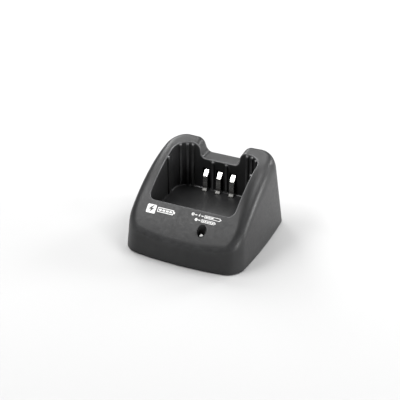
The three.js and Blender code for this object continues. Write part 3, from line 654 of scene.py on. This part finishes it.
def housing_rings():
    """The rings from the lower edge to the middle of the pocket's floor, closest where flat meets round."""
    reach = shoulder_reach()
    across = np.hypot(*(SHARP - POCKET_EDGE)[:, :2].T)

    def on_top(t):
        y = mix(SHARP[:, 1], POCKET_EDGE[:, 1], t)
        return np.stack([mix(SHARP[:, 0], POCKET_EDGE[:, 0], t), y, surface_height(y)], 1)

    rings = []
    for a in arc(LOWER_EDGE_STEPS):
        inset = LOWER_EDGE_RADIUS * (1 - sin(a))
        z = HOUSING_BOTTOM + LOWER_EDGE_RADIUS * (1 - cos(a))
        rings.append(level(outer_plan(z, inset), z))
    wall_start = rings[-1]
    wall_end = below_edge(outer_plan, SHARP, reach)
    rings += [mix(wall_start, wall_end, t) for t in UP_THE_WALL]
    top_start = on_top(reach / across)
    rings += [rounding(wall_end, SHARP, top_start, i / SHOULDER_STEPS) for i in range(SHOULDER_STEPS + 1)]
    rim_share = 1 - RIM_RADIUS / across
    rings += [on_top(mix(reach / across, rim_share, t)) for t in OVER_THE_TOP]
    rim_start = rings[-1]
    rim_end = below_edge(pocket_plan, POCKET_EDGE, RIM_RADIUS)
    rings += [rounding(rim_start, POCKET_EDGE, rim_end, i / RIM_STEPS) for i in range(1, RIM_STEPS + 1)]
    foot = POCKET_FLOOR + FLOOR_FILLET
    wall_foot = level(pocket_plan(foot), foot)
    rings += [mix(rim_end, wall_foot, t) for t in DOWN_THE_POCKET]
    for a in arc(FILLET_STEPS):
        z = foot - FLOOR_FILLET * sin(a)
        rings.append(level(pocket_plan(z, -FLOOR_FILLET * (1 - cos(a))), z))
    floor = rings[-1]
    centre = np.array([0.0, 0.0, POCKET_FLOOR])
    rings += [mix(floor, centre, t) for t in ACROSS_THE_FLOOR]
    return rings


CAVITY_CEILING = 37.6
SHOULDER_THICKNESS = 1.0
ROOF_THICKNESS = 3.4


def cavity_rings():
    """The space under the housing: up inside the outer wall, over, and down around the pocket."""
    reach = shoulder_reach()
    z = np.minimum(CAVITY_CEILING, SHARP[:, 2] - reach - SHOULDER_THICKNESS)
    outside = np.stack([*stand(outer_plan(z, WALL)), z], 1)
    _, y = stand(pocket_plan(HORN_HEIGHT, WALL))
    z = np.minimum(CAVITY_CEILING, top_height(y) - ROOF_THICKNESS)
    inside = np.stack([*stand(pocket_plan(z, WALL)), z], 1)
    bottom = level(outer_plan(HOUSING_BOTTOM, WALL), HOUSING_BOTTOM - 1)
    return [bottom, outside, inside, level(pocket_plan(POCKET_FLOOR, WALL), UNDER_POCKET)]


# -------- housing: ribs, slots, well and holes

RIB_WIDTH = 1.6
RIB_SUNK = 0.6
RIB_SIDE_REACH, RIB_SIDE_Y, RIB_SIDE_TOP = 1.3, 6.9, 46.8
RIB_BACK_REACH, RIB_BACK_X, RIB_BACK_TOP = 0.9, 4.7, 40.7
RIB_CORNER_ANGLES, RIB_CORNER_TOP = (42, 70, 92), 50.4
RIB_ROUNDING = 0.2
RIB_LEAD_IN, RIB_SIDE_LEAD_IN = 1.0, 0.2
RIB_TIP_INSET = 0.5
RIB_TIP_DEPTH = 2.2
COVER_TOP = HOUSING_BOTTOM + 2.0
COVER_SCREWS = [f"cover_screw_{end}_{side}" for side in ("left", "right") for end in ("front", "back")]
BOARD_SCREWS = ["board_screw_left", "board_screw_right"]
CARRIER_SCREWS = ["carrier_screw_left", "carrier_screw_right"]
CONTACTS = ["left", "center", "right"]
LAMP = middle("indicator_lamp")
LAMP_RADIUS = 1.3
INLET = middle("power_inlet_pin")


def rib(low, high, axis, inward, lead_in=RIB_LEAD_IN):
    """An upright rib, and its tip in metres. The top slopes down towards the pocket as a lead-in. An edge
    loop at RIB_TIP_DEPTH keeps the tip's wear and painted highlight from spreading."""
    made = block("rib", low, high, RIB_ROUNDING)
    inner = (high if inward > 0 else low)[axis]
    near = 1.5 * RIB_ROUNDING * MM
    form = bmesh.new()
    form.from_mesh(made.data)
    for vertex in form.verts:
        if vertex.co.z > high[2] * MM - near and abs(vertex.co[axis] - inner * MM) < near:
            vertex.co.z -= lead_in * MM
    everything = form.verts[:] + form.edges[:] + form.faces[:]
    below_wear = (0, 0, (high[2] - RIB_TIP_DEPTH) * MM)
    bmesh.ops.bisect_plane(form, geom=everything, plane_co=below_wear, plane_no=(0, 0, 1))
    form.to_mesh(made.data)
    form.free()
    tip = Vector([(a + b) / 2 for a, b in zip(low, high)])
    tip[axis] = inner - RIB_TIP_INSET * inward
    tip[2] = high[2] - lead_in / 2
    return made, tip * MM


def ribs():
    """Ribs that guide the radio, each with its tip: on the sides, the back and the back corners."""
    low = POCKET_FLOOR - 0.5
    w = RIB_WIDTH / 2
    made = []
    for sign in (-1, 1):
        x = sorted((sign * (POCKET_HALF_WIDTH + RIB_SUNK), sign * (POCKET_HALF_WIDTH - RIB_SIDE_REACH)))
        corners = (x[0], RIB_SIDE_Y - w, low), (x[1], RIB_SIDE_Y + w, RIB_SIDE_TOP)
        made.append(rib(*corners, 0, -sign, RIB_SIDE_LEAD_IN))
        x = sign * RIB_BACK_X
        back = POCKET_BACK + RIB_SUNK
        made.append(rib((x - w, POCKET_BACK - RIB_BACK_REACH, low), (x + w, back, RIB_BACK_TOP), 1, -1))
        r = POCKET_BACK_RADIUS
        centre = (sign * (POCKET_HALF_WIDTH - r) * MM, (POCKET_BACK - r) * MM, 0)
        for degrees in RIB_CORNER_ANGLES:
            corner, tip = rib((r - RIB_BACK_REACH, -w, low), (r + RIB_SUNK, w, RIB_CORNER_TOP), 0, -1)
            turn = Matrix.Rotation(radians(degrees if sign > 0 else 180 - degrees), 4, "Z")
            move = Matrix.Translation(centre) @ turn
            corner.data.transform(move)
            made.append((corner, move @ tip))
    return made


def posts(nodes, radius, z0, z1, steps=32):
    """An upright cylinder in line with each of these CAD nodes, to keep or to cut."""
    profile = [(0, z0), (radius, z0), (radius, z1), (0, z1)]
    return [lathe("post", profile, (*middle(node)[:2], 0), steps=steps) for node in nodes]


def well_lip():
    """The low bead round the mouth of the lamp well, following the sloping deck."""
    radius, bead, sunk, around, section = WELL_RADIUS + 0.12, 0.3, 0.1, 64, 12
    points, faces = [], []
    for i, a in enumerate(arc(around, 360)[:-1]):
        out = np.array([cos(a), sin(a), 0.0])
        y = LAMP[1] + radius * out[1]
        centre = np.array([LAMP[0] + radius * out[0], y, float(top_height(y)) - sunk])
        for b in arc(section, 360)[:-1]:
            points.append(centre + bead * (cos(b) * out + sin(b) * np.array([0, 0, 1.0])))
        faces += quads(i * section, (i + 1) % around * section, section)
    return new_object("lip", from_points("lip", points, faces))


# The radii of the bosses and their screw holes, and where the bosses end. ABOVE is over everything.
COVER_BOSS, BOARD_BOSS, CARRIER_BOSS, WELL_WALL = 3.2, 2.6, 2.6, 1.6
COVER_SCREW_HOLE, BOARD_SCREW_HOLE, CARRIER_SCREW_HOLE = 1.6, 1.4, 1.3
BOARD_BOSS_END, CARRIER_BOSS_END = 7.9, 15.3
ABOVE = 45
WALL_SLOT_ROUNDING, FLOOR_SLOT_ROUNDING = 0.25, 0.2


def slots(side):
    """The slots in the pocket's back wall and floor for one contact."""
    x = middle(f"contact_spring_{side}")[0]
    w = WALL_SLOT_WIDTH / 2
    low, high = (x - w, WALL_SLOT_FRONT, POCKET_FLOOR - 0.3), (x + w, WALL_SLOT_BACK, WALL_SLOT_TOP)
    in_wall = block("slot", low, high, WALL_SLOT_ROUNDING)
    w = FLOOR_SLOT_WIDTH / 2
    low, high = (x - w, FLOOR_SLOT_FRONT, UNDER_POCKET - 1), (x + w, FLOOR_SLOT_BACK, POCKET_FLOOR + 1)
    return [in_wall, block("slot", low, high, FLOOR_SLOT_ROUNDING)]


def inlet_hole():
    """The hole in the back wall for the power inlet, bevelled at its mouth."""
    outside = BACK - BACK_DRAFT * INLET[2] + BACK_BOW
    r, bevel, inside = INLET_HOLE, INLET_HOLE_BEVEL, 30
    profile = [(0, inside), (r, inside), (r, outside - bevel)]
    profile += [(r + 2 * bevel, outside + bevel), (0, outside + bevel)]
    return lathe("hole", profile, (0, 0, INLET[2]), "Y", 64)


def make_housing():
    """The housing in one piece, and where its ribs' tips are, in mm."""
    body = skin("upper_housing_shell", housing_rings())
    cavity = skin("cavity", cavity_rings())
    keep = posts(COVER_SCREWS, COVER_BOSS, COVER_TOP + 0.3, ABOVE)
    keep += posts(BOARD_SCREWS, BOARD_BOSS, BOARD_BOSS_END, UNDER_POCKET + 1)
    keep += posts(CARRIER_SCREWS, CARRIER_BOSS, CARRIER_BOSS_END, UNDER_POCKET + 1)
    keep += posts(["indicator_lamp"], WELL_RADIUS + WELL_WALL, WELL_BOTTOM - 2, ABOVE)
    combine(cavity, keep, "DIFFERENCE")
    combine(body, [cavity], "DIFFERENCE")
    guides = ribs()
    combine(body, [piece for piece, _ in guides] + [well_lip()], "UNION")
    cuts = posts(COVER_SCREWS, COVER_SCREW_HOLE, 0, COVER_TOP + 9)
    cuts += posts(BOARD_SCREWS, BOARD_SCREW_HOLE, 0, UNDER_POCKET - 0.8)
    cuts += posts(CARRIER_SCREWS, CARRIER_SCREW_HOLE, 15, 18.5, 24)
    for side in CONTACTS:
        cuts += slots(side)
    cuts += posts(["indicator_lamp"], WELL_RADIUS, WELL_BOTTOM, ABOVE, 64)
    cuts += posts(["indicator_lamp"], LAMP_RADIUS + 0.3, 0, ABOVE)
    combine(body, cuts + [inlet_hole()], "DIFFERENCE")
    return smooth_shade(body, 32), np.array([tip / MM for _, tip in guides])


# The floor edge is lightened from here back, as wear and as a painted highlight.
FLOOR_WEAR_AND_HIGHLIGHT_START = 11.0


def wear_and_highlight_lines(rib_tips):
    """Each line of wear and painted highlight: its points, how far it reaches in mm, and how strong it is.
    """
    into_fillet = 0.3 * FLOOR_FILLET
    floor_edge = level(pocket_plan(POCKET_FLOOR, -into_fillet), POCKET_FLOOR + into_fillet)
    at_the_back = floor_edge[:, 1] > FLOOR_WEAR_AND_HIGHLIGHT_START
    return (
        (POCKET_EDGE, 0.5, 1.5),
        (rib_tips, 1.0, 1.8),
        (floor_edge[at_the_back], 0.45, 1.2),
        (SHARP, 2.2, 0.2),
    )


def mark_wear_and_highlight(piece, rib_tips):
    """Writes how much each point is lightened, as wear and as a painted highlight: most along the pocket's
    rim, on the ribs' tips and along the floor's back edge, where the radio rubs, and less along the
    shoulder."""
    count = len(piece.data.vertices)
    points = np.empty(count * 3, np.float32)
    piece.data.vertices.foreach_get("co", points)
    points = points.reshape(-1, 3) / MM
    wear_and_highlight_amount = np.zeros(count)
    for line, reach, amount in wear_and_highlight_lines(rib_tips):
        nearest = np.full(count, np.inf)
        for start in range(0, len(line), 32):
            part = line[start:start + 32]
            away = np.linalg.norm(points[:, None, :] - part[None], axis=2).min(1)
            nearest = np.minimum(nearest, away)
        wear_and_highlight_amount = np.maximum(wear_and_highlight_amount, amount * np.exp(-(nearest / reach) ** 2))
    layer = piece.data.attributes.new("wear_and_painted_highlight", "FLOAT", "POINT")
    layer.data.foreach_set("value", np.minimum(wear_and_highlight_amount, 1).astype(np.float32))


housing, rib_tips = make_housing()
mark_wear_and_highlight(housing, rib_tips)
finish_piece(housing, PLASTIC, "housing_plastic", "upper_housing")

# -------- print on the deck

PRINT_LIFT = 0.03
BADGE_LIFT = 0.09
PRINT_DEPTH = 0.05


class Print:
    """Flat white pictograms on the deck. A point is [x, how far up the slope] from its row's middle."""

    def __init__(self, name, lift=PRINT_LIFT):
        self.name = name
        self.lift = lift
        self.points = []
        self.faces = []

    def ring(self, outline, origin, lift):
        start = len(self.points)
        x0, y0 = origin
        slope = TOP_SLOPE - 2 * TOP_CURVE * (y0 - POCKET_FRONT)
        for u, v in outline:
            y = y0 + v / hypot(1, slope)
            self.points.append((x0 + u, y, float(top_height(y)) + lift))
        return start

    def fill(self, outline, origin, spare=0.0):
        """A solid shape, with something to spare above and below when it is a cutter."""
        n = len(outline)
        low = self.ring(outline, origin, -PRINT_DEPTH - spare)
        high = self.ring(outline, origin, self.lift + spare)
        self.faces.append([high + i for i in range(n)])
        self.faces.append([low + i for i in range(n)][::-1])
        self.faces += quads(low, high, n)

    def frame(self, outer, inner, origin):
        """The band between two outlines with as many points each."""
        n = len(outer)
        a, b = self.ring(outer, origin, -PRINT_DEPTH), self.ring(outer, origin, self.lift)
        c, d = self.ring(inner, origin, -PRINT_DEPTH), self.ring(inner, origin, self.lift)
        for low, high in ((a, b), (b, d), (d, c), (c, a)):
            self.faces += quads(low, high, n)

    def build(self):
        return new_object(self.name, from_points(self.name, self.points, self.faces))


def disc(u, radius, steps=28):
    return [(u + radius * cos(a), radius * sin(a)) for a in arc(steps, 360)[:-1]]


BOLT = [(0.16, 1.0), (-0.5, -0.14), (-0.06, -0.14), (-0.2, -1.0), (0.5, 0.22), (0.05, 0.22), (0.42, 1.0)]


def bolt(u, size, width=1.0):
    return [(u + width * size * a, size * b) for a, b in BOLT]


def dash(u):
    return oblong(u, u + 1.5, -0.27, 0.27, 0.1)


def battery(sheet, origin, u0, u1, half, line, bars, full):
    """A battery outline with its terminal, and the first `full` of its bars filled."""
    inside = oblong(u0 + line, u1 - line, -half + line, half - line, 0.12)
    sheet.frame(oblong(u0, u1, -half, half, 0.28), inside, origin)
    terminal = u1 + 0.12
    sheet.fill(oblong(terminal, terminal + line * 1.6, -half * 0.42, half * 0.42, 0.08), origin)
    step = (u1 - u0 - 3 * line) / bars
    for i in range(full):
        left = u0 + 2 * line + i * step
        sheet.fill(oblong(left, left + step - line, -half + 2 * line, half - 2 * line, 0.05), origin)


def make_badge():
    """A rounded square with a bolt left open in it. It spans the deck's curve, so it is thicker."""
    place = (-24.4, -25.9)
    badge, opening = Print("deck_badge", BADGE_LIFT), Print("opening", BADGE_LIFT)
    badge.fill(oblong(-3.1, 3.1, -2.9, 2.9, 0.8), place)
    opening.fill(bolt(0, 2.4, 1.5), place, 0.2)
    badge = badge.build()
    combine(badge, [opening.build()], "DIFFERENCE")
    return badge


def make_print():
    """A battery beside the badge, and two rows over the lamp: a ring and a bolt while the battery fills,
    and a disc when it is full."""
    sheet = Print("deck_print")
    battery(sheet, (-14.6, -25.5), -5.7, 5.3, 1.6, 0.5, 4, 4)
    charging = (12.3, -23.75)
    sheet.frame(disc(-9.1, 0.95), disc(-9.1, 0.42), charging)
    sheet.fill(dash(-7.7), charging)
    sheet.fill(bolt(-4.8, 1.15), charging)
    sheet.fill(dash(-3.5), charging)
    battery(sheet, charging, -1.4, 9.2, 0.95, 0.32, 5, 3)
    charged = (12.6, -25.95)
    sheet.fill(disc(-6.3, 0.95), charged)
    sheet.fill(dash(-5.0), charged)
    battery(sheet, charged, -2.9, 6.1, 0.95, 0.32, 5, 5)
    return sheet.build()


finish_piece(make_badge(), INK, "label_film")
finish_piece(make_print(), INK, "label_film")

# -------- lamp

LAMP_BASE, LAMP_FLANGE = 13.2, 1.0
LEAD_SPACING, LEAD_WIDTH = 1.0, 0.44


def make_lamp():
    """A round-nosed lamp with a flange at its foot, and its three leads."""
    low, high = extent("indicator_lamp")
    r, base, top = LAMP_RADIUS, LAMP_BASE, LAMP_BASE + LAMP_FLANGE
    dome = high[2] - r
    profile = [(0, base), (r + 0.3, base), (r + 0.35, base + 0.05), (r + 0.35, top - 0.05), (r + 0.3, top)]
    profile.append((r, top + 0.02))
    profile += [(r * cos(a), dome + r * sin(a)) for a in arc(12)]
    lens = lathe("indicator_lamp_lens", profile, (LAMP[0], LAMP[1], 0), steps=40)
    finish_piece(smooth_shade(lens, 50), EPOXY, "lamp_epoxy", "indicator_lamp")
    w = LEAD_WIDTH / 2
    for i, x in enumerate((-LEAD_SPACING, 0, LEAD_SPACING)):
        x, y = LAMP[0] + x, LAMP[1]
        lead = block(f"indicator_lamp_lead_{i + 1}", (x - w, y - w, low[2]), (x + w, y + w, base), 0.06)
        finish_piece(lead, NICKEL, "contact_nickel")


make_lamp()

# -------- charging contacts

# The spring's middle line as [y, z] points: out of the floor, back to the wall, up it, over the knee
# and back into the slot.
SPRING = [
    (19.6, 18.9), (19.6, 19.2), (19.72, 19.5), (20.0, 19.8), (20.7, 20.45), (21.1, 20.95), (21.25, 21.6),
    (21.25, 27.9), (21.3, 28.7), (21.65, 29.3), (24.9, 33), (25.5, 33.4),
]
SPRING_EDGE = 0.12


def smoothed(line, rounds=2):
    """Chaikin's corner cutting, which keeps both ends."""
    for _ in range(rounds):
        cut = [line[0]]
        for a, b in zip(line, line[1:]):
            cut += [mix(a, b, 0.25), mix(a, b, 0.75)]
        line = cut + [line[-1]]
    return line


def contact_strip(side):
    """A contact's strip, swept along the spring's middle line."""
    node = f"contact_spring_{side}"
    low, high = extent(node)
    half, t = (high[0] - low[0]) / 2, CONTACT_THICKNESS / 2
    section = oblong(-half, half, -t, t, SPRING_EDGE, 3)
    # More points across the front keep its shading flat. The back's come one corner early, so the
    # outline crosses itself there, where the strip faces its slot.
    across = [(half - SPRING_EDGE) * i / 3 for i in range(-2, 3)]
    section[4:4] = [(-u, t) for u in across]
    section[13:13] = [(u, -t) for u in across]
    line = smoothed([np.array(p) for p in SPRING])
    points, faces = [], []
    n = len(section)
    for i, p in enumerate(line):
        along = line[min(i + 1, len(line) - 1)] - line[max(i - 1, 0)]
        along = along / np.linalg.norm(along)
        normal = np.array([-along[1], along[0]])
        points += [(middle(node)[0] + u, *(p + normal * v)) for u, v in section]
        if i:
            faces += quads((i - 1) * n, i * n, n)
    faces.append(list(range(n)))
    faces.append(list(range(len(points) - n, len(points))))
    name = f"charging_contact_{side}"
    return smooth_shade(new_object(name, from_points(name, points, faces)), 40)


for side, colour in zip(CONTACTS, ("black", "yellow", "red")):
    node = f"contact_spring_{side}"
    finish_piece(contact_strip(side), NICKEL, "contact_nickel", node, body=f"{side}_contact")
    finish_refined(f"charging_contact_tail_{side}", f"contact_tail_{side}", 0.08, NICKEL, "contact_nickel")
    finish_refined(f"charging_wire_{side}", f"contact_wire_{side}", 0.05, WIRES[side], f"wire_{colour}")

finish_refined("contact_block", "contact_carrier", 0.15, BLACK_PLASTIC, "component_black")

# -------- power inlet

INLET_BODY_BACK, INLET_BODY_TOP = 36.0, 17.5
INLET_NOSE, INLET_NOSE_START, INLET_NOSE_BEVEL = 3.5, 35.0, 0.25
INLET_BORE, INLET_BORE_START, INLET_BORE_BEVEL = 2.75, 28.5, 0.4
PIN_HOLE, PIN_HOLE_END = 1.3, 30


def make_inlet():
    """A coaxial jack: a block with a round nose through the back wall, and its centre pin."""
    at = (0, 0, INLET[2])
    low, high = extent("power_inlet_body")
    body = block("inlet_jack", low, (high[0], INLET_BODY_BACK, INLET_BODY_TOP), 0.3)
    mouth, r, start, bevel = high[1], INLET_NOSE, INLET_NOSE_START, INLET_NOSE_BEVEL
    nose = [(0, start), (r, start), (r, mouth - bevel), (r - bevel, mouth), (0, mouth)]
    combine(body, [lathe("nose", nose, at, "Y", 64)], "UNION")
    r, start, wide = INLET_BORE, INLET_BORE_START, INLET_BORE + INLET_BORE_BEVEL
    bore = [(0, start), (r, start), (r, mouth + 0.05 - INLET_BORE_BEVEL), (wide, mouth + 0.05)]
    bore += [(wide, mouth + 1), (0, mouth + 1)]
    hole = [(0, low[1] - 1), (PIN_HOLE, low[1] - 1), (PIN_HOLE, PIN_HOLE_END), (0, PIN_HOLE_END)]
    combine(body, [lathe("bore", bore, at, "Y", 64), lathe("hole", hole, at, "Y", 32)], "DIFFERENCE")
    finish_piece(smooth_shade(body), BLACK_PLASTIC, "component_black", "power_inlet_body")
    low, high = extent("power_inlet_pin")
    r = (high[0] - low[0]) / 2
    profile = [(0, low[1]), (r - 0.1, low[1]), (r, low[1] + 0.1)]
    profile += [(r * cos(a), high[1] - 0.7 + 0.7 * sin(a)) for a in arc(6)]
    pin = smooth_shade(lathe("inlet_pin", profile, at, "Y", 32))
    finish_piece(pin, NICKEL, "contact_nickel", "power_inlet_pin")


make_inlet()

# -------- underside

finish_refined("bottom_cover", "base_cover", 0.2, COVER_PLASTIC, "housing_plastic")
finish_refined("blank_label", "label_plate", 0.04, LABEL, "label_film")

FOOT_ROUNDING, FOOT_DIMPLE = 0.55, 0.28


def make_foot(end, side):
    """A rubber foot with a dimple in the middle and a rounded edge."""
    node = f"rubber_foot_{end}_{side}"
    place, r, h = upright(node)
    edge = FOOT_ROUNDING
    profile = [(0, FOOT_DIMPLE), (r * 0.4, 0.26), (r * 0.52, 0.06), (r * 0.58, 0), (r - edge, 0)]
    turns = (0.4, 0.8, 1.2, pi / 2)
    profile += [(r - edge + edge * sin(a), 0.45 - 0.45 * cos(a)) for a in turns]
    foot = smooth_shade(lathe(f"foot_{end}_{side}", profile + [(r, h), (0, h)], place, steps=56))
    finish_piece(foot, RUBBER, "foot_rubber", node)


THREAD_PITCH = 0.7


def make_screw(name, node, head_height, shank):
    """A pan-head screw with a cross recess and threads, filling its CAD node's box."""
    place, head, length = upright(node)
    profile = [
        (0, 0), (head * 0.62, 0), (head * 0.86, head_height * 0.16), (head * 0.97, head_height * 0.45),
        (head, head_height * 0.7), (head * 0.98, head_height), (shank * 0.82, head_height),
    ]
    z = head_height + 0.2
    while z + THREAD_PITCH < length - shank:
        crest, end = z + THREAD_PITCH * 0.4, z + THREAD_PITCH * 0.75
        profile += [(shank * 0.8, z), (shank, crest), (shank * 0.8, end)]
        z += THREAD_PITCH
    profile += [(shank * 0.75, length - shank), (0.12, length - 0.03), (0, length)]
    screw = lathe(name, profile, steps=32)
    arm, half, depth = head * 0.52, 0.26, head_height * 0.62
    blades = [
        block("blade", (-arm, -half, -1), (arm, half, depth), 0.05),
        block("blade", (-half, -arm, -1), (half, arm, depth), 0.05),
    ]
    combine(screw, blades, "DIFFERENCE")
    screw.data.transform(Matrix.Translation(Vector(place) * MM))
    finish_piece(smooth_shade(screw), STEEL, "screw_steel", node)


for side in ("left", "right"):
    for end in ("front", "back"):
        make_foot(end, side)

for nodes, old, new, head_height, shank in (
    (COVER_SCREWS, "cover", "case", 0.75, 1.3),
    (BOARD_SCREWS, "board", "circuit", 1.1, 1.1),
    (CARRIER_SCREWS, "carrier", "block", 1.0, 1.0),
):
    for node in nodes:
        make_screw(node.replace(old, new), node, head_height, shank)

# -------- circuit board

finish_refined("circuit_board", "main_circuit_board", 0.08, BOARD, "board_laminate")
finish_refined("charge_control_chip", "control_chip", 0.05, CHIP, "component_black")
finish_refined("voltage_transistor", "power_transistor", 0.15, CHIP, "component_black")
finish_refined("transistor_heat_sink", "heat_sink", 0.15, ALUMINIUM, "heat_sink_aluminium")

COIL_TURNS, COIL_MARGIN = 9, 1.3


def make_inductor():
    """A ferrite bobbin with copper wound round its waist."""
    place, r, h = upright("power_inductor")
    lower = [(0, 0), (r - 0.15, 0), (r, 0.15), (r, 0.95), (r - 0.15, 1.1), (r * 0.55, 1.15)]
    core = lathe("inductor_core", lower + [(radius, h - z) for radius, z in reversed(lower)], place)
    finish_piece(smooth_shade(core), FERRITE, "inductor_ferrite", "power_inductor")
    start, pitch = COIL_MARGIN, (h - 2 * COIL_MARGIN) / COIL_TURNS
    winding = [(r * 0.58, start)]
    for i in range(COIL_TURNS):
        z = start + i * pitch
        winding += [(r * 0.78, z + 0.05), (r * 0.84, z + pitch / 2), (r * 0.78, z + pitch - 0.05)]
    winding += [(r * 0.58, h - COIL_MARGIN), (r * 0.58, start)]
    coil = lathe("inductor_winding", winding, place)
    finish_piece(smooth_shade(coil, 60), COPPER, "inductor_ferrite")


make_inductor()


def make_capacitor(use):
    """An electrolytic can with a crimp near its foot and a sleeve that turns in over its top."""
    place, r, h = upright(f"filter_capacitor_{use}")
    profile = [
        (0, 0), (r - 0.35, 0), (r - 0.1, 0.2), (r, 0.45), (r - 0.1, 0.7), (r - 0.28, 0.95), (r - 0.1, 1.2),
        (r, 1.5), (r, h - 0.35), (r - 0.1, h - 0.12), (r - 0.3, h), (r - 0.7, h), (r - 0.75, h - 0.15),
        (0, h - 0.15),
    ]
    can = smooth_shade(lathe(f"smoothing_capacitor_{use}", profile, place), 40)
    finish_piece(can, SLEEVE, "capacitor_sleeve", f"filter_capacitor_{use}")


for use in ("input", "output"):
    make_capacitor(use)

# -------- camera, floor and light

# The camera looks from the front right and above, at a point a little behind the middle.
VIEW_AZIMUTH = radians(24.89)
VIEW_ELEVATION = radians(30.48)
VIEW_DISTANCE = 0.8
VIEW_TARGET = Vector((-7.6, 9.59, 18.29)) * MM
LENS = 112.1
FLOOR_REACH = 3.0
LIGHT_AIM = Vector((0, 0, 0.02))
LIGHT_DISTANCE = 1.2


def direction(azimuth, elevation):
    """The unit vector towards a place: 0 is the front, and a quarter turn is the right."""
    across = cos(elevation)
    return Vector((sin(azimuth) * across, -cos(azimuth) * across, sin(elevation)))


def make_camera():
    camera = add_object("camera", bpy.data.cameras.new("camera"))
    camera.data.lens = LENS
    camera.data.clip_start = 0.01
    back = direction(VIEW_AZIMUTH, VIEW_ELEVATION)
    camera.location = VIEW_TARGET + back * VIEW_DISTANCE
    camera.rotation_euler = back.to_track_quat("Z", "Y").to_euler()
    bpy.context.scene.camera = camera


def make_floor():
    mesh = bpy.data.meshes.new("floor")
    far = FLOOR_REACH
    mesh.from_pydata([(-far, -far, 0), (far, -far, 0), (far, far, 0), (-far, far, 0)], [], [(0, 1, 2, 3)])
    floor = add_object("floor", mesh)
    paper = speckled("floor_paper", (0.56, 0.56, 0.56), (0.565, 0.565, 0.565), 0.9, 60, 0.02)
    floor.data.materials.append(paper)


def softbox(name, azimuth, elevation, size, power):
    """A square lamp aimed at the charger. Azimuth 0 is the front and 90 is the right."""
    light = add_object(name, bpy.data.lights.new(name, "AREA"))
    light.data.shape = "SQUARE"
    light.data.size = size
    light.data.energy = power
    away = direction(radians(azimuth), radians(elevation))
    light.location = LIGHT_AIM + away * LIGHT_DISTANCE
    light.rotation_euler = away.to_track_quat("Z", "Y").to_euler()
    light.visible_camera = False


def make_light():
    world = bpy.data.worlds.new("studio")
    world.use_nodes = True
    set_inputs(world.node_tree.nodes["Background"], Strength=0)
    bpy.context.scene.world = world
    softbox("key_front_left", -40, 52, 0.35, 4.1)
    softbox("key_left", -60, 62, 0.5, 2.4)
    softbox("side_left", -75, 52, 0.4, 3.9)
    softbox("back_left", 240, 42, 0.45, 4.2)
    softbox("back_left_low", 222, 28, 0.35, 3.9)
    softbox("back", 195, 42, 0.45, 3.3)
    softbox("back_top", 180, 62, 0.5, 2.0)
    softbox("rim", 150, 24, 0.3, 4.4)
    softbox("right_top", 120, 62, 0.5, 6.7)
    softbox("right_low", 115, 10, 0.35, 8.5)
    softbox("front_right_low", 65, 8, 0.3, 5.2)
    bpy.context.scene.view_settings.view_transform = "Standard"


make_camera()
make_floor()
make_light()
